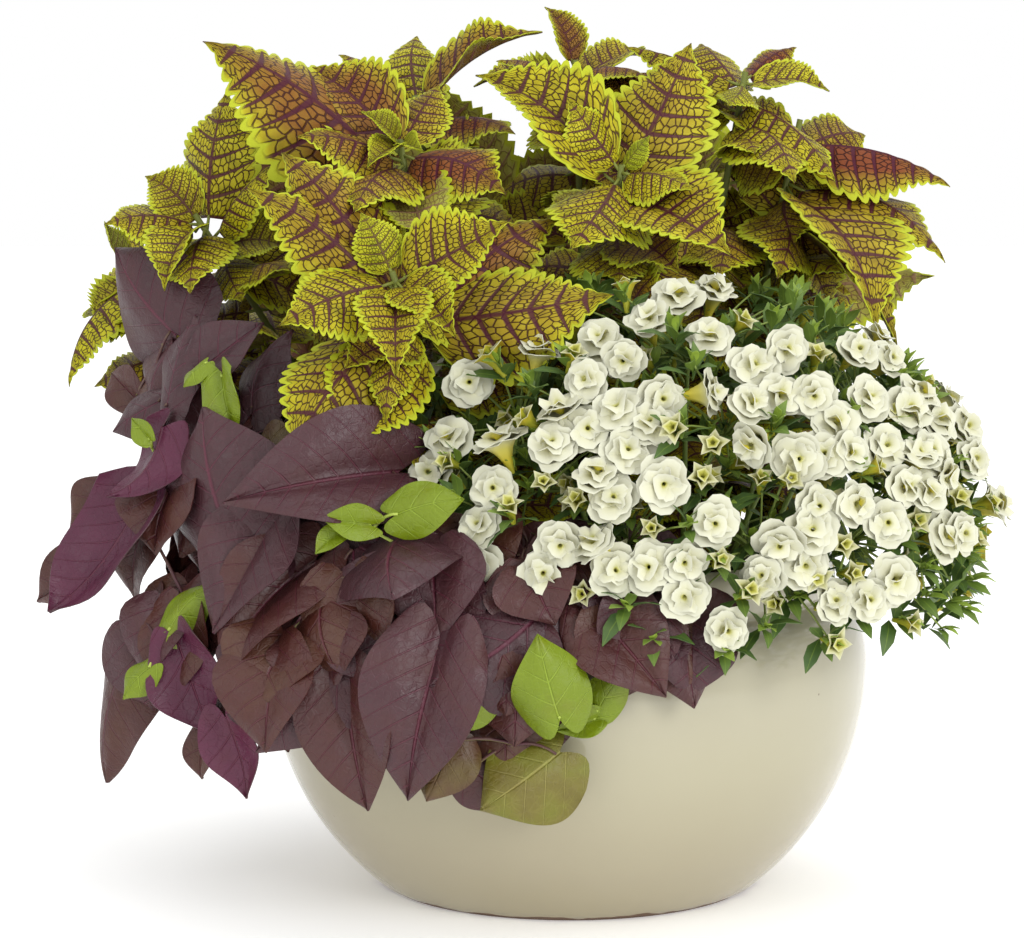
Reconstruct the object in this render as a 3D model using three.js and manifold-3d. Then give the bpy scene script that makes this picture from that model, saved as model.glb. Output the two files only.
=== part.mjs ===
// A glazed stoneware bowl planted with three patio plants: coleus standing at the back, dark sweet
// potato vine spilling over the left and the front, and a mound of double calibrachoa on the right.
// Millimetres, +Z up. The origin is the centre of the bowl's foot, on the ground, and -Y is the front.
import * as THREE from "three";
import { mergeVertices } from "three/addons/utils/BufferGeometryUtils.js";
import Module from "manifold-3d";

const wasm = await Module();
wasm.setup();

// ---- Driving dimensions ----
const BELLY_RADIUS = 195;
const BELLY_HEIGHT = 147; // height of the widest line
const BELLY_DEPTH = 188.4; // half height of the ellipse that the lower wall follows
const NECK_RADIUS = 168;
const NECK_HEIGHT = 190;
const RIM_RADIUS = 174;
const RIM_HEIGHT = 221;
const RIM_BAND = 16; // thickness of the rolled rim
const WALL = 9;
const FLOOR = 12;
const BOWL_SIDES = 32;
const SOIL_SIDES = 16; // its corners meet every other corner of the bowl
const DRAIN_RADIUS = 6;
const DRAIN_CIRCLE = 60;
const DRAIN_COUNT = 3;
const SOIL_HEIGHT = 192;
const SOIL_CROWN = 5; // how much the soil rises in the middle
const ROOT_DEPTH = 32; // how far each stem stands in the soil
const GAP = 0.5; // clearance between neighbouring pieces
const SLACK = 0.12; // how far a joined piece's faces may move as its tiny edges are taken out
const LEAF_THICKNESS = 1.6;
const COLEUS_STEM = 3.4;
const VINE_STEM = 2.4;
const SPRAY_STEM = 2.2;
const STALK = 1.3; // leaf and flower stalks
const BLOOM_RADIUS = 13.5;
const BLOOM_DEPTH = 15; // throat behind the rim
const BLOOM_DOME = 5; // crown of the inner petals in front of it

const UP = new THREE.Vector3(0, 0, 1);
const vec = (p) => new THREE.Vector3(...p);

// ---- Where everything grows ----

// Coleus shoots. root: where the stem leaves the soil. apex: the growing tip. faces: the way the
// rosette looks. leaves: tip x, y, z, width, and how far below the apex the leaf joins the stem.
const COLEUS = [
  { root: [-62, 8], apex: [-107, -35, 482], faces: [-0.1, -0.7, 0.7], leaves: [
    [-231, -20, 547, 58, 25], [-169, 5, 530, 49, 9], [-83, 0, 518, 33, 3], [-40, -70, 450, 49, 8],
    [-168, -75, 486, 36, 12], [-132, -110, 441, 42, 14], [-89, -105, 422, 38, 22],
    [-126, -70, 466, 15, 2]] },
  { root: [8, 22], apex: [33, -40, 466], faces: [0, -0.7, 0.7], leaves: [
    [-58, -20, 525, 48, 12], [78, -5, 545, 60, 14], [0, -45, 508, 34, 3], [75, -85, 453, 27, 3],
    [0, -105, 418, 58, 6], [98, -100, 414, 60, 16], [31, -70, 394, 50, 40]] },
  { root: [-48, -38], apex: [-109, -115, 402], faces: [-0.05, -0.85, 0.5], leaves: [
    [-128, -110, 438, 26, 2], [-179, -75, 476, 52, 18], [-199, -95, 454, 38, 30],
    [-175, -150, 373, 46, 5], [-39, -130, 434, 46, 6], [-105, -175, 344, 36, 6],
    [-70, -160, 366, 28, 5], [-170, -165, 292, 62, 28], [-144, -150, 293, 56, 46],
    [-112, -160, 315, 24, 30], [24, -135, 391, 62, 36], [-6, -60, 435, 50, 50]] },
  { root: [-96, 30], apex: [-241, 5, 434], faces: [-0.35, -0.65, 0.65], leaves: [
    [-296, -20, 430, 42, 6], [-274, 15, 459, 32, 6], [-221, 20, 516, 52, 12],
    [-256, -50, 389, 29, 5], [-239, -60, 388, 42, 10], [-208, -40, 381, 32, 30],
    [-182, -28, 472, 22, 18]] },
  { root: [-112, 46], apex: [-293, 60, 396], faces: [-0.75, -0.25, 0.6], leaves: [
    [-330, 30, 322, 33, 5], [-318, 100, 362, 34, 6], [-262, 92, 452, 40, 8],
    [-306, 44, 428, 26, 3], [-262, 34, 350, 36, 14]] },
  { root: [62, 30], apex: [116, 30, 526], faces: [0.15, -0.5, 0.85], leaves: [
    [39, 30, 544, 24, 8], [170, 20, 515, 30, 6], [152, 60, 544, 22, 4], [102, -15, 505, 22, 6],
    [171, -25, 458, 38, 14], [142, -50, 458, 43, 30], [90, 92, 548, 34, 10]] },
  { root: [92, 40], apex: [151, 20, 495], faces: [0.45, -0.55, 0.7], leaves: [
    [247, 0, 455, 39, 12], [243, -15, 407, 60, 40], [193, -75, 367, 72, 42],
    [213, -20, 354, 38, 62], [132, -60, 398, 40, 58]] },
  { root: [-40, 52], apex: [-100, 45, 511], faces: [0, -0.3, 0.95], leaves: [
    [-18, 40, 555, 42, 8], [-100, 110, 554, 34, 8], [-34, 10, 488, 55, 18], [-150, 70, 540, 40, 16],
    [-168, 74, 470, 44, 30]] },
  { root: [18, 66], apex: [6, 95, 535], faces: [0, -0.2, 0.95], leaves: [
    [-13, 110, 572, 22, 3], [55, 60, 524, 30, 8], [-62, 96, 520, 42, 14], [58, 126, 540, 40, 12],
    [2, 170, 520, 48, 16], [-2, 62, 470, 46, 26]] },
];

// Shoots at the back: apex and the way each rosette faces. Their leaves stand in crossed pairs.
const BACK_SHOOTS = [
  { root: [-72, 74], apex: [-150, 120, 440], faces: [-0.5, 0.6, 0.6], reach: 112, turn: 20 },
  { root: [-18, 96], apex: [-48, 165, 432], faces: [-0.1, 0.75, 0.6], reach: 108, turn: 60 },
  { root: [52, 88], apex: [74, 155, 452], faces: [0.15, 0.7, 0.65], reach: 110, turn: 5 },
  { root: [100, 78], apex: [158, 118, 412], faces: [0.6, 0.55, 0.55], reach: 96, turn: 40 },
  { root: [8, 124], apex: [18, 196, 340], faces: [0.05, 0.9, 0.4], reach: 104, turn: 75 },
  { root: [-88, 100], apex: [-168, 176, 328], faces: [-0.6, 0.7, 0.4], reach: 98, turn: 30 },
];
const WHORL = [
  { pitch: 28, share: 1, drop: 34 },
  { pitch: 10, share: 0.86, drop: 16 },
  { pitch: 46, share: 0.5, drop: 4 },
];

// Sweet potato vine runners. path: from the soil over the rim. leaves: the notch where the stalk
// meets the blade x, y, z, the tip x, y, z, and the width.
const VINES = [
  { path: [[-96, -18], [-150, -30, 262], [-212, -50, 306], [-262, -44, 338]], leaves: [
    [-251, -40, 359, -294, -10, 413, 66], [-226, -90, 343, -191, -90, 371, 34],
    [-251, -95, 316, -237, -70, 375, 25], [-198, -90, 315, -175, -70, 366, 26],
    [-277, -20, 316, -297, 0, 332, 24], [-256, -70, 320, -289, -60, 300, 29],
    [-214, -110, 339, -205, -125, 301, 19]] },
  { path: [[-104, -50], [-158, -84, 246], [-212, -104, 262], [-270, -88, 256]], leaves: [
    [-250, -110, 305, -282, -115, 262, 34], [-209, -150, 245, -227, -130, 321, 76],
    [-291, -50, 261, -320, -45, 233, 25],
    [-172, -110, 305, -166, -124, 263, 37], [-293, -60, 227, -341, -50, 191, 36]] },
  { path: [[-86, -76], [-150, -122, 232], [-205, -136, 216], [-262, -128, 178]], leaves: [
    [-266, -100, 257, -318, -110, 189, 54], [-183, -150, 254, -217, -175, 191, 52],
    [-244, -150, 187, -214, -150, 216, 20], [-237, -150, 180, -215, -165, 125, 40],
    [-255, -150, 165, -273, -150, 145, 19], [-265, -120, 178, -260, -115, 130, 48],
    [-277, -100, 163, -295, -90, 80, 38]] },
  { path: [[-66, -98], [-118, -152, 232], [-160, -176, 200], [-200, -172, 140]], leaves: [
    [-155, -155, 230, -210, -185, 165, 40], [-117, -190, 184, -190, -195, 122, 46],
    [-192, -175, 176, -171, -192, 120, 40], [-207, -170, 138, -194, -165, 88, 24],
    [-221, -150, 125, -226, -150, 95, 18], [-135, -194, 163, -123, -202, 86, 47]] },
  { path: [[-38, -108], [-68, -158, 236], [-96, -186, 214], [-92, -204, 150]], leaves: [
    [-99, -190, 193, -150, -168, 220, 66], [-103, -175, 248, -107, -225, 222, 66],
    [-78, -207, 188, -99, -217, 96, 56], [-105, -190, 262, -65, -200, 273, 25],
    [-119, -190, 256, -148, -195, 261, 14], [-104, -140, 283, -207, -175, 270, 48]] },
  { path: [[-8, -116], [-24, -166, 234], [-36, -198, 205], [-34, -208, 128]], leaves: [
    [-20, -205, 206, -84, -225, 167, 74], [-8, -210, 124, -55, -218, 91, 52],
    [-61, -204, 113, -34, -204, 88, 34], [-72, -210, 131, -87, -217, 96, 34],
    [-8, -215, 146, -21, -217, 197, 38], [-49, -215, 165, -84, -225, 144, 24],
    [14, -208, 147, 32, -212, 173, 20]] },
  { path: [[16, -116], [24, -168, 230], [42, -196, 208], [66, -202, 192]], leaves: [
    [12, -200, 207, 54, -222, 160, 50], [69, -197, 195, 69, -207, 156, 44]] },
  { path: [[-112, 10], [-172, 26, 250], [-222, 34, 246], [-256, 40, 176]], leaves: [
    [-232, 20, 262, -290, 2, 228, 62], [-226, 62, 258, -262, 108, 232, 64],
    [-256, 16, 196, -292, -6, 142, 58], [-246, 66, 190, -270, 96, 134, 60],
    [-190, 52, 268, -196, 96, 296, 54]] },
  { path: [[-84, 62], [-148, 100, 250], [-186, 118, 226], [-202, 132, 146]], leaves: [
    [-192, 104, 252, -238, 142, 226, 62], [-150, 142, 238, -148, 200, 222, 60],
    [-214, 122, 178, -254, 140, 128, 56], [-176, 158, 172, -168, 194, 118, 58],
    [-126, 126, 262, -84, 172, 272, 52]] },
  { path: [[-44, 104], [-62, 156, 240], [-70, 184, 214], [-64, 200, 132]], leaves: [
    [-84, 186, 228, -112, 224, 186, 60], [-38, 192, 220, -8, 228, 190, 58],
    [-84, 202, 158, -104, 222, 100, 56], [-40, 206, 148, -22, 222, 92, 54]] },
];

// The calibrachoa mound: an ellipsoid on which the blooms sit, and the directions of the blooms on
// it, as degrees round from the front (to the right positive) and degrees up.
const MOUND_CENTRE = [72, -70, 232];
const MOUND_RADII = [200, 150, 165];
const BLOOMS = [
  [-92, 41], [-95, 61], [-67, 51], [-60, 39], [-91, 35], [-46, 50], [-43, 57], [-29, 54], [-25, 41],
  [-18, 47], [-16, 62], [-7, 71], [25, 78], [5, 55], [4, 39], [-7, 37], [-37, 32], [-41, 27],
  [-55, 26], [-28, 26], [-22, 30], [-30, 35], [-16, 34], [-9, 31], [-13, 25], [-28, 18], [-39, 16],
  [-57, 18], [-40, 8], [-40, 0], [-22, 15], [-18, 20], [-15, 15], [-24, 5], [-18, 6], [-20, -5],
  [-14, 0], [-27, -1], [-6, 18], [-8, 9], [-8, 1], [-2, 2], [3, 10], [1, 20], [3, 27], [10, 26],
  [19, 38], [12, 36], [25, 49], [15, 46], [35, 49], [26, 37], [52, 49], [64, 46], [30, 31],
  [41, 36], [17, 19], [19, 23], [25, 24], [30, 24], [40, 25], [52, 33], [60, 36], [52, 23],
  [63, 30], [76, 27], [71, 20], [47, 23], [46, 15], [41, 16], [29, 13], [36, 9], [22, 13],
  [14, 5], [20, 8], [26, 5], [11, -1], [19, 1], [44, 9], [51, 5], [56, 5], [58, 13], [55, 17],
  [36, -3], [25, -7], [21, -2], [28, -1], [31, -7], [13, -7], [5, -12], [-2, -5],
  // The far side.
  [92, 8], [96, 32], [104, -4], [108, 20], [112, 48], [118, 6], [124, 30], [130, -4], [134, 18],
  [140, 42], [148, 8], [152, 28], [85, 52], [120, 62], [160, 50], [-160, 64], [-120, 56],
];

// The mound's branches: where each leaves the soil x, y, and the direction of its tip on the mound.
const BRANCHES = [
  [34, -96, -46, 4], [52, -104, -16, 4], [72, -104, 16, 2], [94, -96, 42, 4], [116, -76, 74, 10],
  [26, -74, -66, 38], [46, -80, -26, 36], [70, -84, 10, 38], [94, -72, 44, 38], [116, -50, 78, 40],
  [72, -58, 0, 72], [124, -24, 112, 16], [112, 0, 150, 30],
];
const BRANCH_REACH = 0.72; // where the branch tips lie, as a share of the mound's radii
const BRANCH_LIFT = 34; // how far the branches arch over the rim

// ---- Materials ----
const finish = (color, roughness) => new THREE.MeshStandardMaterial({ color, roughness, metalness: 0 });
const GLAZE = finish("#cfc9ab", 0.2);
const SOIL = finish("#4a382b", 0.95);
const COLEUS_LEAF = finish("#9aa32c", 0.6);
const VINE_LEAF = finish("#4a2a33", 0.45);
const MOUND_BLOOM = finish("#f2efcf", 0.6);

// ---- Solids ----

// Turns a closed three.js geometry into a solid, with its faces pointing out.
function solid(geometry) {
  const bare = geometry.clone();
  for (const name of ["normal", "uv"]) bare.deleteAttribute(name);
  const merged = mergeVertices(bare, 1e-4);
  const place = merged.attributes.position;
  const index = merged.index ? [...merged.index.array] : [...place.array.keys()];
  const [a, b, c] = [new THREE.Vector3(), new THREE.Vector3(), new THREE.Vector3()];
  const faces = [];
  let volume = 0;
  for (let i = 0; i < index.length; i += 3) {
    const face = index.slice(i, i + 3);
    if (new Set(face).size < 3) continue;
    [a, b, c].forEach((corner, k) => corner.fromBufferAttribute(place, face[k]));
    volume += a.dot(b.cross(c));
    faces.push(face);
  }
  const triVerts = new Uint32Array(faces.flatMap((face) => (volume < 0 ? face.reverse() : face)));
  const vertProperties = new Float32Array(place.array);
  return new wasm.Manifold(new wasm.Mesh({ numProp: 3, vertProperties, triVerts }));
}

function spun(outline, sides) {
  const points = outline.map(([radius, height]) => new THREE.Vector2(Math.max(radius, 0), height));
  return new THREE.LatheGeometry(points, sides).rotateX(Math.PI / 2);
}

const joined = (pieces) => wasm.Manifold.union(pieces);

// A piece that a cut has split keeps its largest part.
function largest(piece) {
  const parts = piece.decompose();
  return parts.reduce((best, part) => (part.volume() > best.volume() ? part : best));
}

// A round rod along a curve. grow makes the fatter copy that cuts its neighbours clear.
function rod(curve, radius, sides, steps, grow = 0) {
  const section = new THREE.Shape();
  for (let i = 0; i < sides; i++) {
    const turn = (2 * Math.PI * i) / sides;
    const [x, y] = [(radius + grow) * Math.cos(turn), (radius + grow) * Math.sin(turn)];
    if (i) section.lineTo(x, y);
    else section.moveTo(x, y);
  }
  return solid(new THREE.ExtrudeGeometry(section, { steps, extrudePath: curve, bevelEnabled: false }));
}

// ---- Bowl and soil ----

// The outer line of the bowl from foot to rim: an ellipse below the belly, another up to the neck,
// and half a circle and a bit for the rolled rim.
function outerLine() {
  const line = [];
  for (let i = 0; i <= 6; i++) {
    const height = (BELLY_HEIGHT * i) / 6;
    const below = (BELLY_HEIGHT - height) / BELLY_DEPTH;
    line.push([BELLY_RADIUS * Math.sqrt(1 - below * below), height]);
  }
  for (let i = 1; i <= 3; i++) {
    const turn = (Math.PI / 2) * (i / 3);
    const height = BELLY_HEIGHT + (NECK_HEIGHT - BELLY_HEIGHT) * Math.sin(turn);
    line.push([NECK_RADIUS + (BELLY_RADIUS - NECK_RADIUS) * Math.cos(turn), height]);
  }
  const half = RIM_BAND / 2;
  for (let i = 0; i <= 4; i++) {
    const turn = Math.PI * (i / 4) - 0.15;
    line.push([RIM_RADIUS - half + half * Math.cos(turn), RIM_HEIGHT - half + half * Math.sin(turn)]);
  }
  return line;
}

// The inside of the bowl, from the rim down to the middle of its floor. inset draws it in.
function innerLine(inset) {
  const line = [];
  for (let i = 0; i <= 5; i++) {
    const height = NECK_HEIGHT + (FLOOR + inset - NECK_HEIGHT) * (i / 5);
    const above = height > BELLY_HEIGHT;
    const span = above ? NECK_HEIGHT - BELLY_HEIGHT : BELLY_DEPTH;
    const off = Math.min(Math.abs(BELLY_HEIGHT - height) / span, 1);
    const bulge = Math.sqrt(1 - off * off);
    const radius = above ? NECK_RADIUS + (BELLY_RADIUS - NECK_RADIUS) * bulge : BELLY_RADIUS * bulge;
    line.push([radius - WALL - inset, height]);
  }
  line.push([0, FLOOR + inset]);
  return line;
}

function bowl() {
  const wall = solid(spun([[0, 0], ...outerLine(), ...innerLine(0)], BOWL_SIDES));
  const drains = [];
  for (let i = 0; i < DRAIN_COUNT; i++) {
    const drain = new THREE.CylinderGeometry(DRAIN_RADIUS, DRAIN_RADIUS, 3 * FLOOR, 10).rotateX(Math.PI / 2);
    const turn = (2 * Math.PI * (i + 0.25)) / DRAIN_COUNT;
    drains.push(solid(drain.translate(DRAIN_CIRCLE * Math.cos(turn), DRAIN_CIRCLE * Math.sin(turn), 0)));
  }
  return wall.subtract(joined(drains));
}

// The space that the plants keep clear of the bowl: its solid wall, a little fatter.
function bowlClearance() {
  const outer = outerLine().map(([radius, height]) => [radius + GAP, height]);
  outer[0][1] -= GAP;
  const rim = outer.slice(-5).map(([radius, height]) => [radius, height + GAP]);
  return solid(spun([[0, -GAP], ...outer.slice(0, -5), ...rim, ...innerLine(GAP)], BOWL_SIDES));
}

function soilBody() {
  const inside = innerLine(GAP).reverse();
  const edge = [NECK_RADIUS - WALL - GAP, SOIL_HEIGHT];
  return solid(spun([...inside, edge, [0, SOIL_HEIGHT + SOIL_CROWN]], SOIL_SIDES));
}

// ---- Stems and leaves ----

// A stem's line: from its foot in the soil, straight up out of it, and on through its points.
function stemLine([x, y], points, sink = 0) {
  const foot = new THREE.Vector3(x, y, SOIL_HEIGHT - ROOT_DEPTH - sink);
  const collar = new THREE.Vector3(x, y, SOIL_HEIGHT + 6);
  return new THREE.CatmullRomCurve3([foot, collar, ...points]);
}

const COLEUS_BLADE = [[0.5, 0.36], [0.3, 0.76]];
const VINE_BLADE = [[0.46, -0.06], [0.42, 0.46]];

// A thin closed blade from base to tip. halfOutline lists one edge as shares of width and length,
// facing is the side it turns to the light, and arch is how high it bows, as a share of its length.
function blade({ halfOutline, base, tip, width, facing, arch, heart }, grow = 0) {
  const along = tip.clone().sub(base);
  const length = along.length() + 2 * grow;
  along.normalize();
  const front = facing.clone().addScaledVector(along, -facing.dot(along)).normalize();
  const across = new THREE.Vector3().crossVectors(along, front);
  const span = width + 2 * grow;
  const shape = new THREE.Shape();
  shape.moveTo(heart ? 0 : -STALK, 0);
  for (const [side, up] of halfOutline) shape.lineTo(-side * span, up * length);
  shape.lineTo(0, length);
  for (const [side, up] of [...halfOutline].reverse()) shape.lineTo(side * span, up * length);
  if (!heart) shape.lineTo(STALK, 0);
  const depth = LEAF_THICKNESS + 2 * grow;
  const flat = new THREE.ExtrudeGeometry(shape, { depth, bevelEnabled: false });
  const place = flat.attributes.position;
  for (let i = 0; i < place.count; i++) {
    const share = place.getY(i) / length;
    place.setZ(i, place.getZ(i) - depth / 2 + 4 * arch * length * share * (1 - share));
  }
  const turn = new THREE.Matrix4().makeBasis(across, along, front);
  turn.setPosition(base.clone().addScaledVector(along, -grow));
  return solid(flat.applyMatrix4(turn));
}

const stalk = (from, to, grow = 0) => rod(new THREE.LineCurve3(from, to), STALK, 3, 1, grow);

// A shoot is { stem, leaves, fatStem, fatLeaves }: its wood and its blades, and the fatter copies.
function shoot(root, points, radius, { blades = [], stalks = [], blooms = [] }) {
  const leaves = [...blades.map((leaf) => blade(leaf)), ...blooms.map((bloom) => bell(bloom))];
  const fatLeaves = [
    ...blades.map((leaf) => blade(leaf, GAP)), ...blooms.map((bloom) => bell(bloom, GAP))];
  const wood = (grow) => joined([
    rod(stemLine(root, points, grow), radius, 4, 5, grow),
    ...stalks.map(([from, to]) => stalk(from, to, grow))]);
  return {
    stem: wood(0), fatStem: wood(GAP), leaves: joined(leaves), fatLeaves: joined(fatLeaves), root };
}

// ---- Coleus ----

function coleusShoot({ root, apex, faces, leaves }) {
  const top = vec(apex);
  const waist = new THREE.Vector3(root[0], root[1], SOIL_HEIGHT).lerp(top, 0.55);
  waist.z += 12;
  const line = stemLine(root, [waist, top]);
  const length = line.getLength();
  const blades = leaves.map(([x, y, z, width, drop]) => {
    const base = line.getPointAt(1 - (drop + 2) / length);
    const tip = new THREE.Vector3(x, y, z);
    return { halfOutline: COLEUS_BLADE, base, tip, width, facing: vec(faces), arch: 0.07 };
  });
  return shoot(root, [waist, top], COLEUS_STEM, { blades });
}

// The leaves of a back shoot: pairs across the stem, each pair a quarter turn on from the last.
function crossedPairs({ apex, faces, reach, turn }) {
  const axis = vec(faces).normalize();
  const side = new THREE.Vector3().crossVectors(UP, axis).normalize();
  const rise = new THREE.Vector3().crossVectors(axis, side);
  const leaves = [];
  WHORL.forEach(({ pitch, share, drop }, pair) => {
    for (const half of [0, 180]) {
      const angle = THREE.MathUtils.degToRad(turn + 90 * pair + half);
      const lean = THREE.MathUtils.degToRad(pitch);
      const out = side.clone().multiplyScalar(Math.cos(angle)).addScaledVector(rise, Math.sin(angle));
      const way = out.multiplyScalar(Math.cos(lean)).addScaledVector(axis, Math.sin(lean));
      const tip = vec(apex).addScaledVector(way, reach * share);
      leaves.push([...tip.toArray(), 0.52 * reach * share, drop]);
    }
  });
  return leaves;
}

// ---- Sweet potato vine ----

// Which way a leaf at this place turns: out from the bowl and up, and those in front to the front.
function outward(place) {
  const out = new THREE.Vector3(place.x, place.y, 0).normalize();
  out.z = 0.45;
  if (place.y < 0) out.y -= 0.7;
  return out;
}

function nearest(line, place, from) {
  let best = line.getPointAt(from);
  for (let share = from; share <= 1; share += 0.02) {
    const point = line.getPointAt(Math.min(share, 0.995));
    if (point.distanceTo(place) < best.distanceTo(place)) best = point;
  }
  return best;
}

function vineRunner({ path: [root, ...points], leaves }) {
  const line = stemLine(root, points.map(vec));
  const stalks = [];
  const blades = leaves.map(([bx, by, bz, tx, ty, tz, width]) => {
    const [base, tip] = [new THREE.Vector3(bx, by, bz), new THREE.Vector3(tx, ty, tz)];
    const inBlade = base.clone().lerp(tip, 0.06);
    stalks.push([nearest(line, base, 0.3), inBlade]);
    const facing = outward(base.clone().lerp(tip, 0.5));
    return { halfOutline: VINE_BLADE, base, tip, width, facing, arch: 0.05, heart: true };
  });
  return shoot(root, points.map(vec), VINE_STEM, { blades, stalks });
}

// ---- Calibrachoa ----

function onMound([around, up], reach = 1) {
  const [a, b] = [THREE.MathUtils.degToRad(around), THREE.MathUtils.degToRad(up)];
  const way = new THREE.Vector3(Math.sin(a) * Math.cos(b), -Math.cos(a) * Math.cos(b), Math.sin(b));
  return vec(MOUND_CENTRE).add(way.multiply(vec(MOUND_RADII)).multiplyScalar(reach));
}

// A double bloom as a solid: a funnel with a low crown, its mouth turned away from the mound.
function bell({ place, way }, grow = 0) {
  const radius = BLOOM_RADIUS + grow;
  const outline = [[0, -BLOOM_DEPTH - grow], [radius, 0], [0, BLOOM_DOME + grow]];
  const turn = new THREE.Quaternion().setFromUnitVectors(UP, way);
  const matrix = new THREE.Matrix4().compose(place, turn, new THREE.Vector3(1, 1, 1));
  return solid(spun(outline, 4).applyMatrix4(matrix));
}

function moundSprays() {
  const tips = BRANCHES.map(([, , around, up]) => onMound([around, up], BRANCH_REACH));
  const sprays = BRANCHES.map(() => []);
  for (const direction of BLOOMS) {
    const place = onMound(direction);
    const way = place.clone().sub(vec(MOUND_CENTRE)).divide(vec(MOUND_RADII)).normalize();
    let own = 0;
    tips.forEach((tip, i) => { if (tip.distanceTo(place) < tips[own].distanceTo(place)) own = i; });
    sprays[own].push({ place, way });
  }
  return BRANCHES.map(([x, y], i) => {
    const arch = new THREE.Vector3(x, y, SOIL_HEIGHT).lerp(tips[i], 0.5);
    arch.z += BRANCH_LIFT;
    const points = [arch, tips[i]];
    const line = stemLine([x, y], points);
    const stalks = sprays[i].map(({ place, way }) => {
      const throat = place.clone().addScaledVector(way, -0.8 * BLOOM_DEPTH);
      return [nearest(line, throat, 0.45), throat];
    });
    return shoot([x, y], points, SPRAY_STEM, { blooms: sprays[i], stalks });
  });
}

// ---- Assembly ----

const number = (i) => String(i + 1).padStart(2, "0");
const backShoots = BACK_SHOOTS.map((plan) => ({ ...plan, leaves: crossedPairs(plan) }));
const plants = [
  { name: "coleus_shoot", material: COLEUS_LEAF, shoots: [...COLEUS, ...backShoots].map(coleusShoot) },
  { name: "vine_runner", material: VINE_LEAF, shoots: VINES.map(vineRunner) },
  { name: "calibrachoa_spray", material: MOUND_BLOOM, shoots: moundSprays() },
];

// A piece whose own origin is at the given place.
function placed(name, piece, material, [x, y, z]) {
  const { vertProperties, triVerts } = piece.translate([-x, -y, -z]).getMesh();
  const geometry = new THREE.BufferGeometry();
  geometry.setAttribute("position", new THREE.BufferAttribute(vertProperties, 3));
  geometry.setIndex(new THREE.BufferAttribute(triVerts, 1));
  geometry.computeVertexNormals();
  const mesh = new THREE.Mesh(geometry, material);
  mesh.name = name;
  mesh.position.set(x, y, z);
  return mesh;
}

const planter = new THREE.Group();
const shoots = plants.flatMap((plant) => plant.shoots);
const wood = joined(shoots.map((piece) => piece.fatStem));
planter.add(placed("planter_bowl", bowl(), GLAZE, [0, 0, 0]));
planter.add(placed("potting_soil", largest(soilBody().subtract(wood).simplify(SLACK)), SOIL, [0, 0, FLOOR]));

// Each shoot's blades give way to the bowl, the soil, all other stems and the blades before them.
let taken = joined([bowlClearance(), soilBody().translate([0, 0, GAP])]);
for (const plant of plants) {
  const group = new THREE.Group();
  plant.shoots.forEach((piece, i) => {
    const others = joined(shoots.filter((other) => other !== piece).map((other) => other.fatStem));
    const blades = piece.leaves.subtract(others).subtract(taken);
    const whole = largest(piece.stem.add(blades).simplify(SLACK));
    taken = taken.add(piece.fatLeaves);
    group.add(placed(`${plant.name}_${number(i)}`, whole, plant.material, [...piece.root, SOIL_HEIGHT]));
  });
  planter.add(group);
}

export default planter;
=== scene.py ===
"""The looks of a glazed patio bowl planted with coleus, dark sweet potato vine and double calibrachoa.

The tables of places are in millimetres in the frame's own axes: +Z up, -Y the front.
"""
import math
import random
from functools import partial

import bmesh
import bpy
from mathutils import Matrix, Vector


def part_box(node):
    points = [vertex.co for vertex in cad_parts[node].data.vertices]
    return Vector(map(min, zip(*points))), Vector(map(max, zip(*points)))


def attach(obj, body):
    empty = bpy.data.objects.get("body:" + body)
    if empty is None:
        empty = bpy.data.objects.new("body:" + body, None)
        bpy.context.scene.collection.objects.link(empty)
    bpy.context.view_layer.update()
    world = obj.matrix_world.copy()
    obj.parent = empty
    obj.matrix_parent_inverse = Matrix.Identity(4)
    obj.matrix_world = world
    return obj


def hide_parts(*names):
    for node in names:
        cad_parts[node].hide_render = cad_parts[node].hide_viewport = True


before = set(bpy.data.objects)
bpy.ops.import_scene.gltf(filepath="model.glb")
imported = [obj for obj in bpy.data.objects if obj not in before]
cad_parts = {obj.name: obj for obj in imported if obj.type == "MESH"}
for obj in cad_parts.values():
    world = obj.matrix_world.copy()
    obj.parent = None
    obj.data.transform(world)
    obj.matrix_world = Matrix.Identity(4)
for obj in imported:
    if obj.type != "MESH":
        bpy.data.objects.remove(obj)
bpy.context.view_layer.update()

MM = 0.001
WELD = 0.00001  # points closer than this, in metres, become one
BODY = "root"


# ---- Camera, floor and light ----

CAMERA_PLACE = (-36, -2010, 482)
CAMERA_PITCH = 6.05  # degrees down
CAMERA_LENS = 109.3


def make_camera():
    camera = bpy.data.objects.new("camera", bpy.data.cameras.new("camera"))
    camera.data.lens = CAMERA_LENS
    camera.location = Vector(CAMERA_PLACE) * MM
    camera.rotation_euler = (math.radians(90 - CAMERA_PITCH), 0, 0)
    bpy.context.collection.objects.link(camera)
    bpy.context.scene.camera = camera


def softbox(name, place, target, size, power):
    light = bpy.data.lights.new(name, "AREA")
    light.shape, light.size, light.size_y = "RECTANGLE", size[0], size[1]
    light.energy = power
    lamp = bpy.data.objects.new(name, light)
    lamp.location = place
    lamp.rotation_euler = (Vector(target) - Vector(place)).to_track_quat("-Z", "Y").to_euler()
    bpy.context.collection.objects.link(lamp)


def make_studio():
    world = bpy.data.worlds.new("studio")
    bpy.context.scene.world = world
    world.use_nodes = True
    world.node_tree.nodes["Background"].inputs["Color"].default_value = (1, 1, 1, 1)
    world.node_tree.nodes["Background"].inputs["Strength"].default_value = 1.0
    middle = (0, 0, 0.3)
    softbox("key_softbox", (1.6, -2.3, 1.3), middle, (1.0, 1.3), 33)
    softbox("fill_softbox", (-1.4, -2.0, 1.8), middle, (1.0, 1.0), 8)
    softbox("top_softbox", (0.4, -0.2, 2.6), middle, (1.6, 1.6), 12)
    bpy.context.scene.view_settings.view_transform = "Standard"
    bm = bmesh.new()
    bmesh.ops.create_grid(bm, x_segments=1, y_segments=1, size=12)
    floor = new_object("studio_floor", bm, [floor_material()])


# ---- Materials ----

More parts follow.
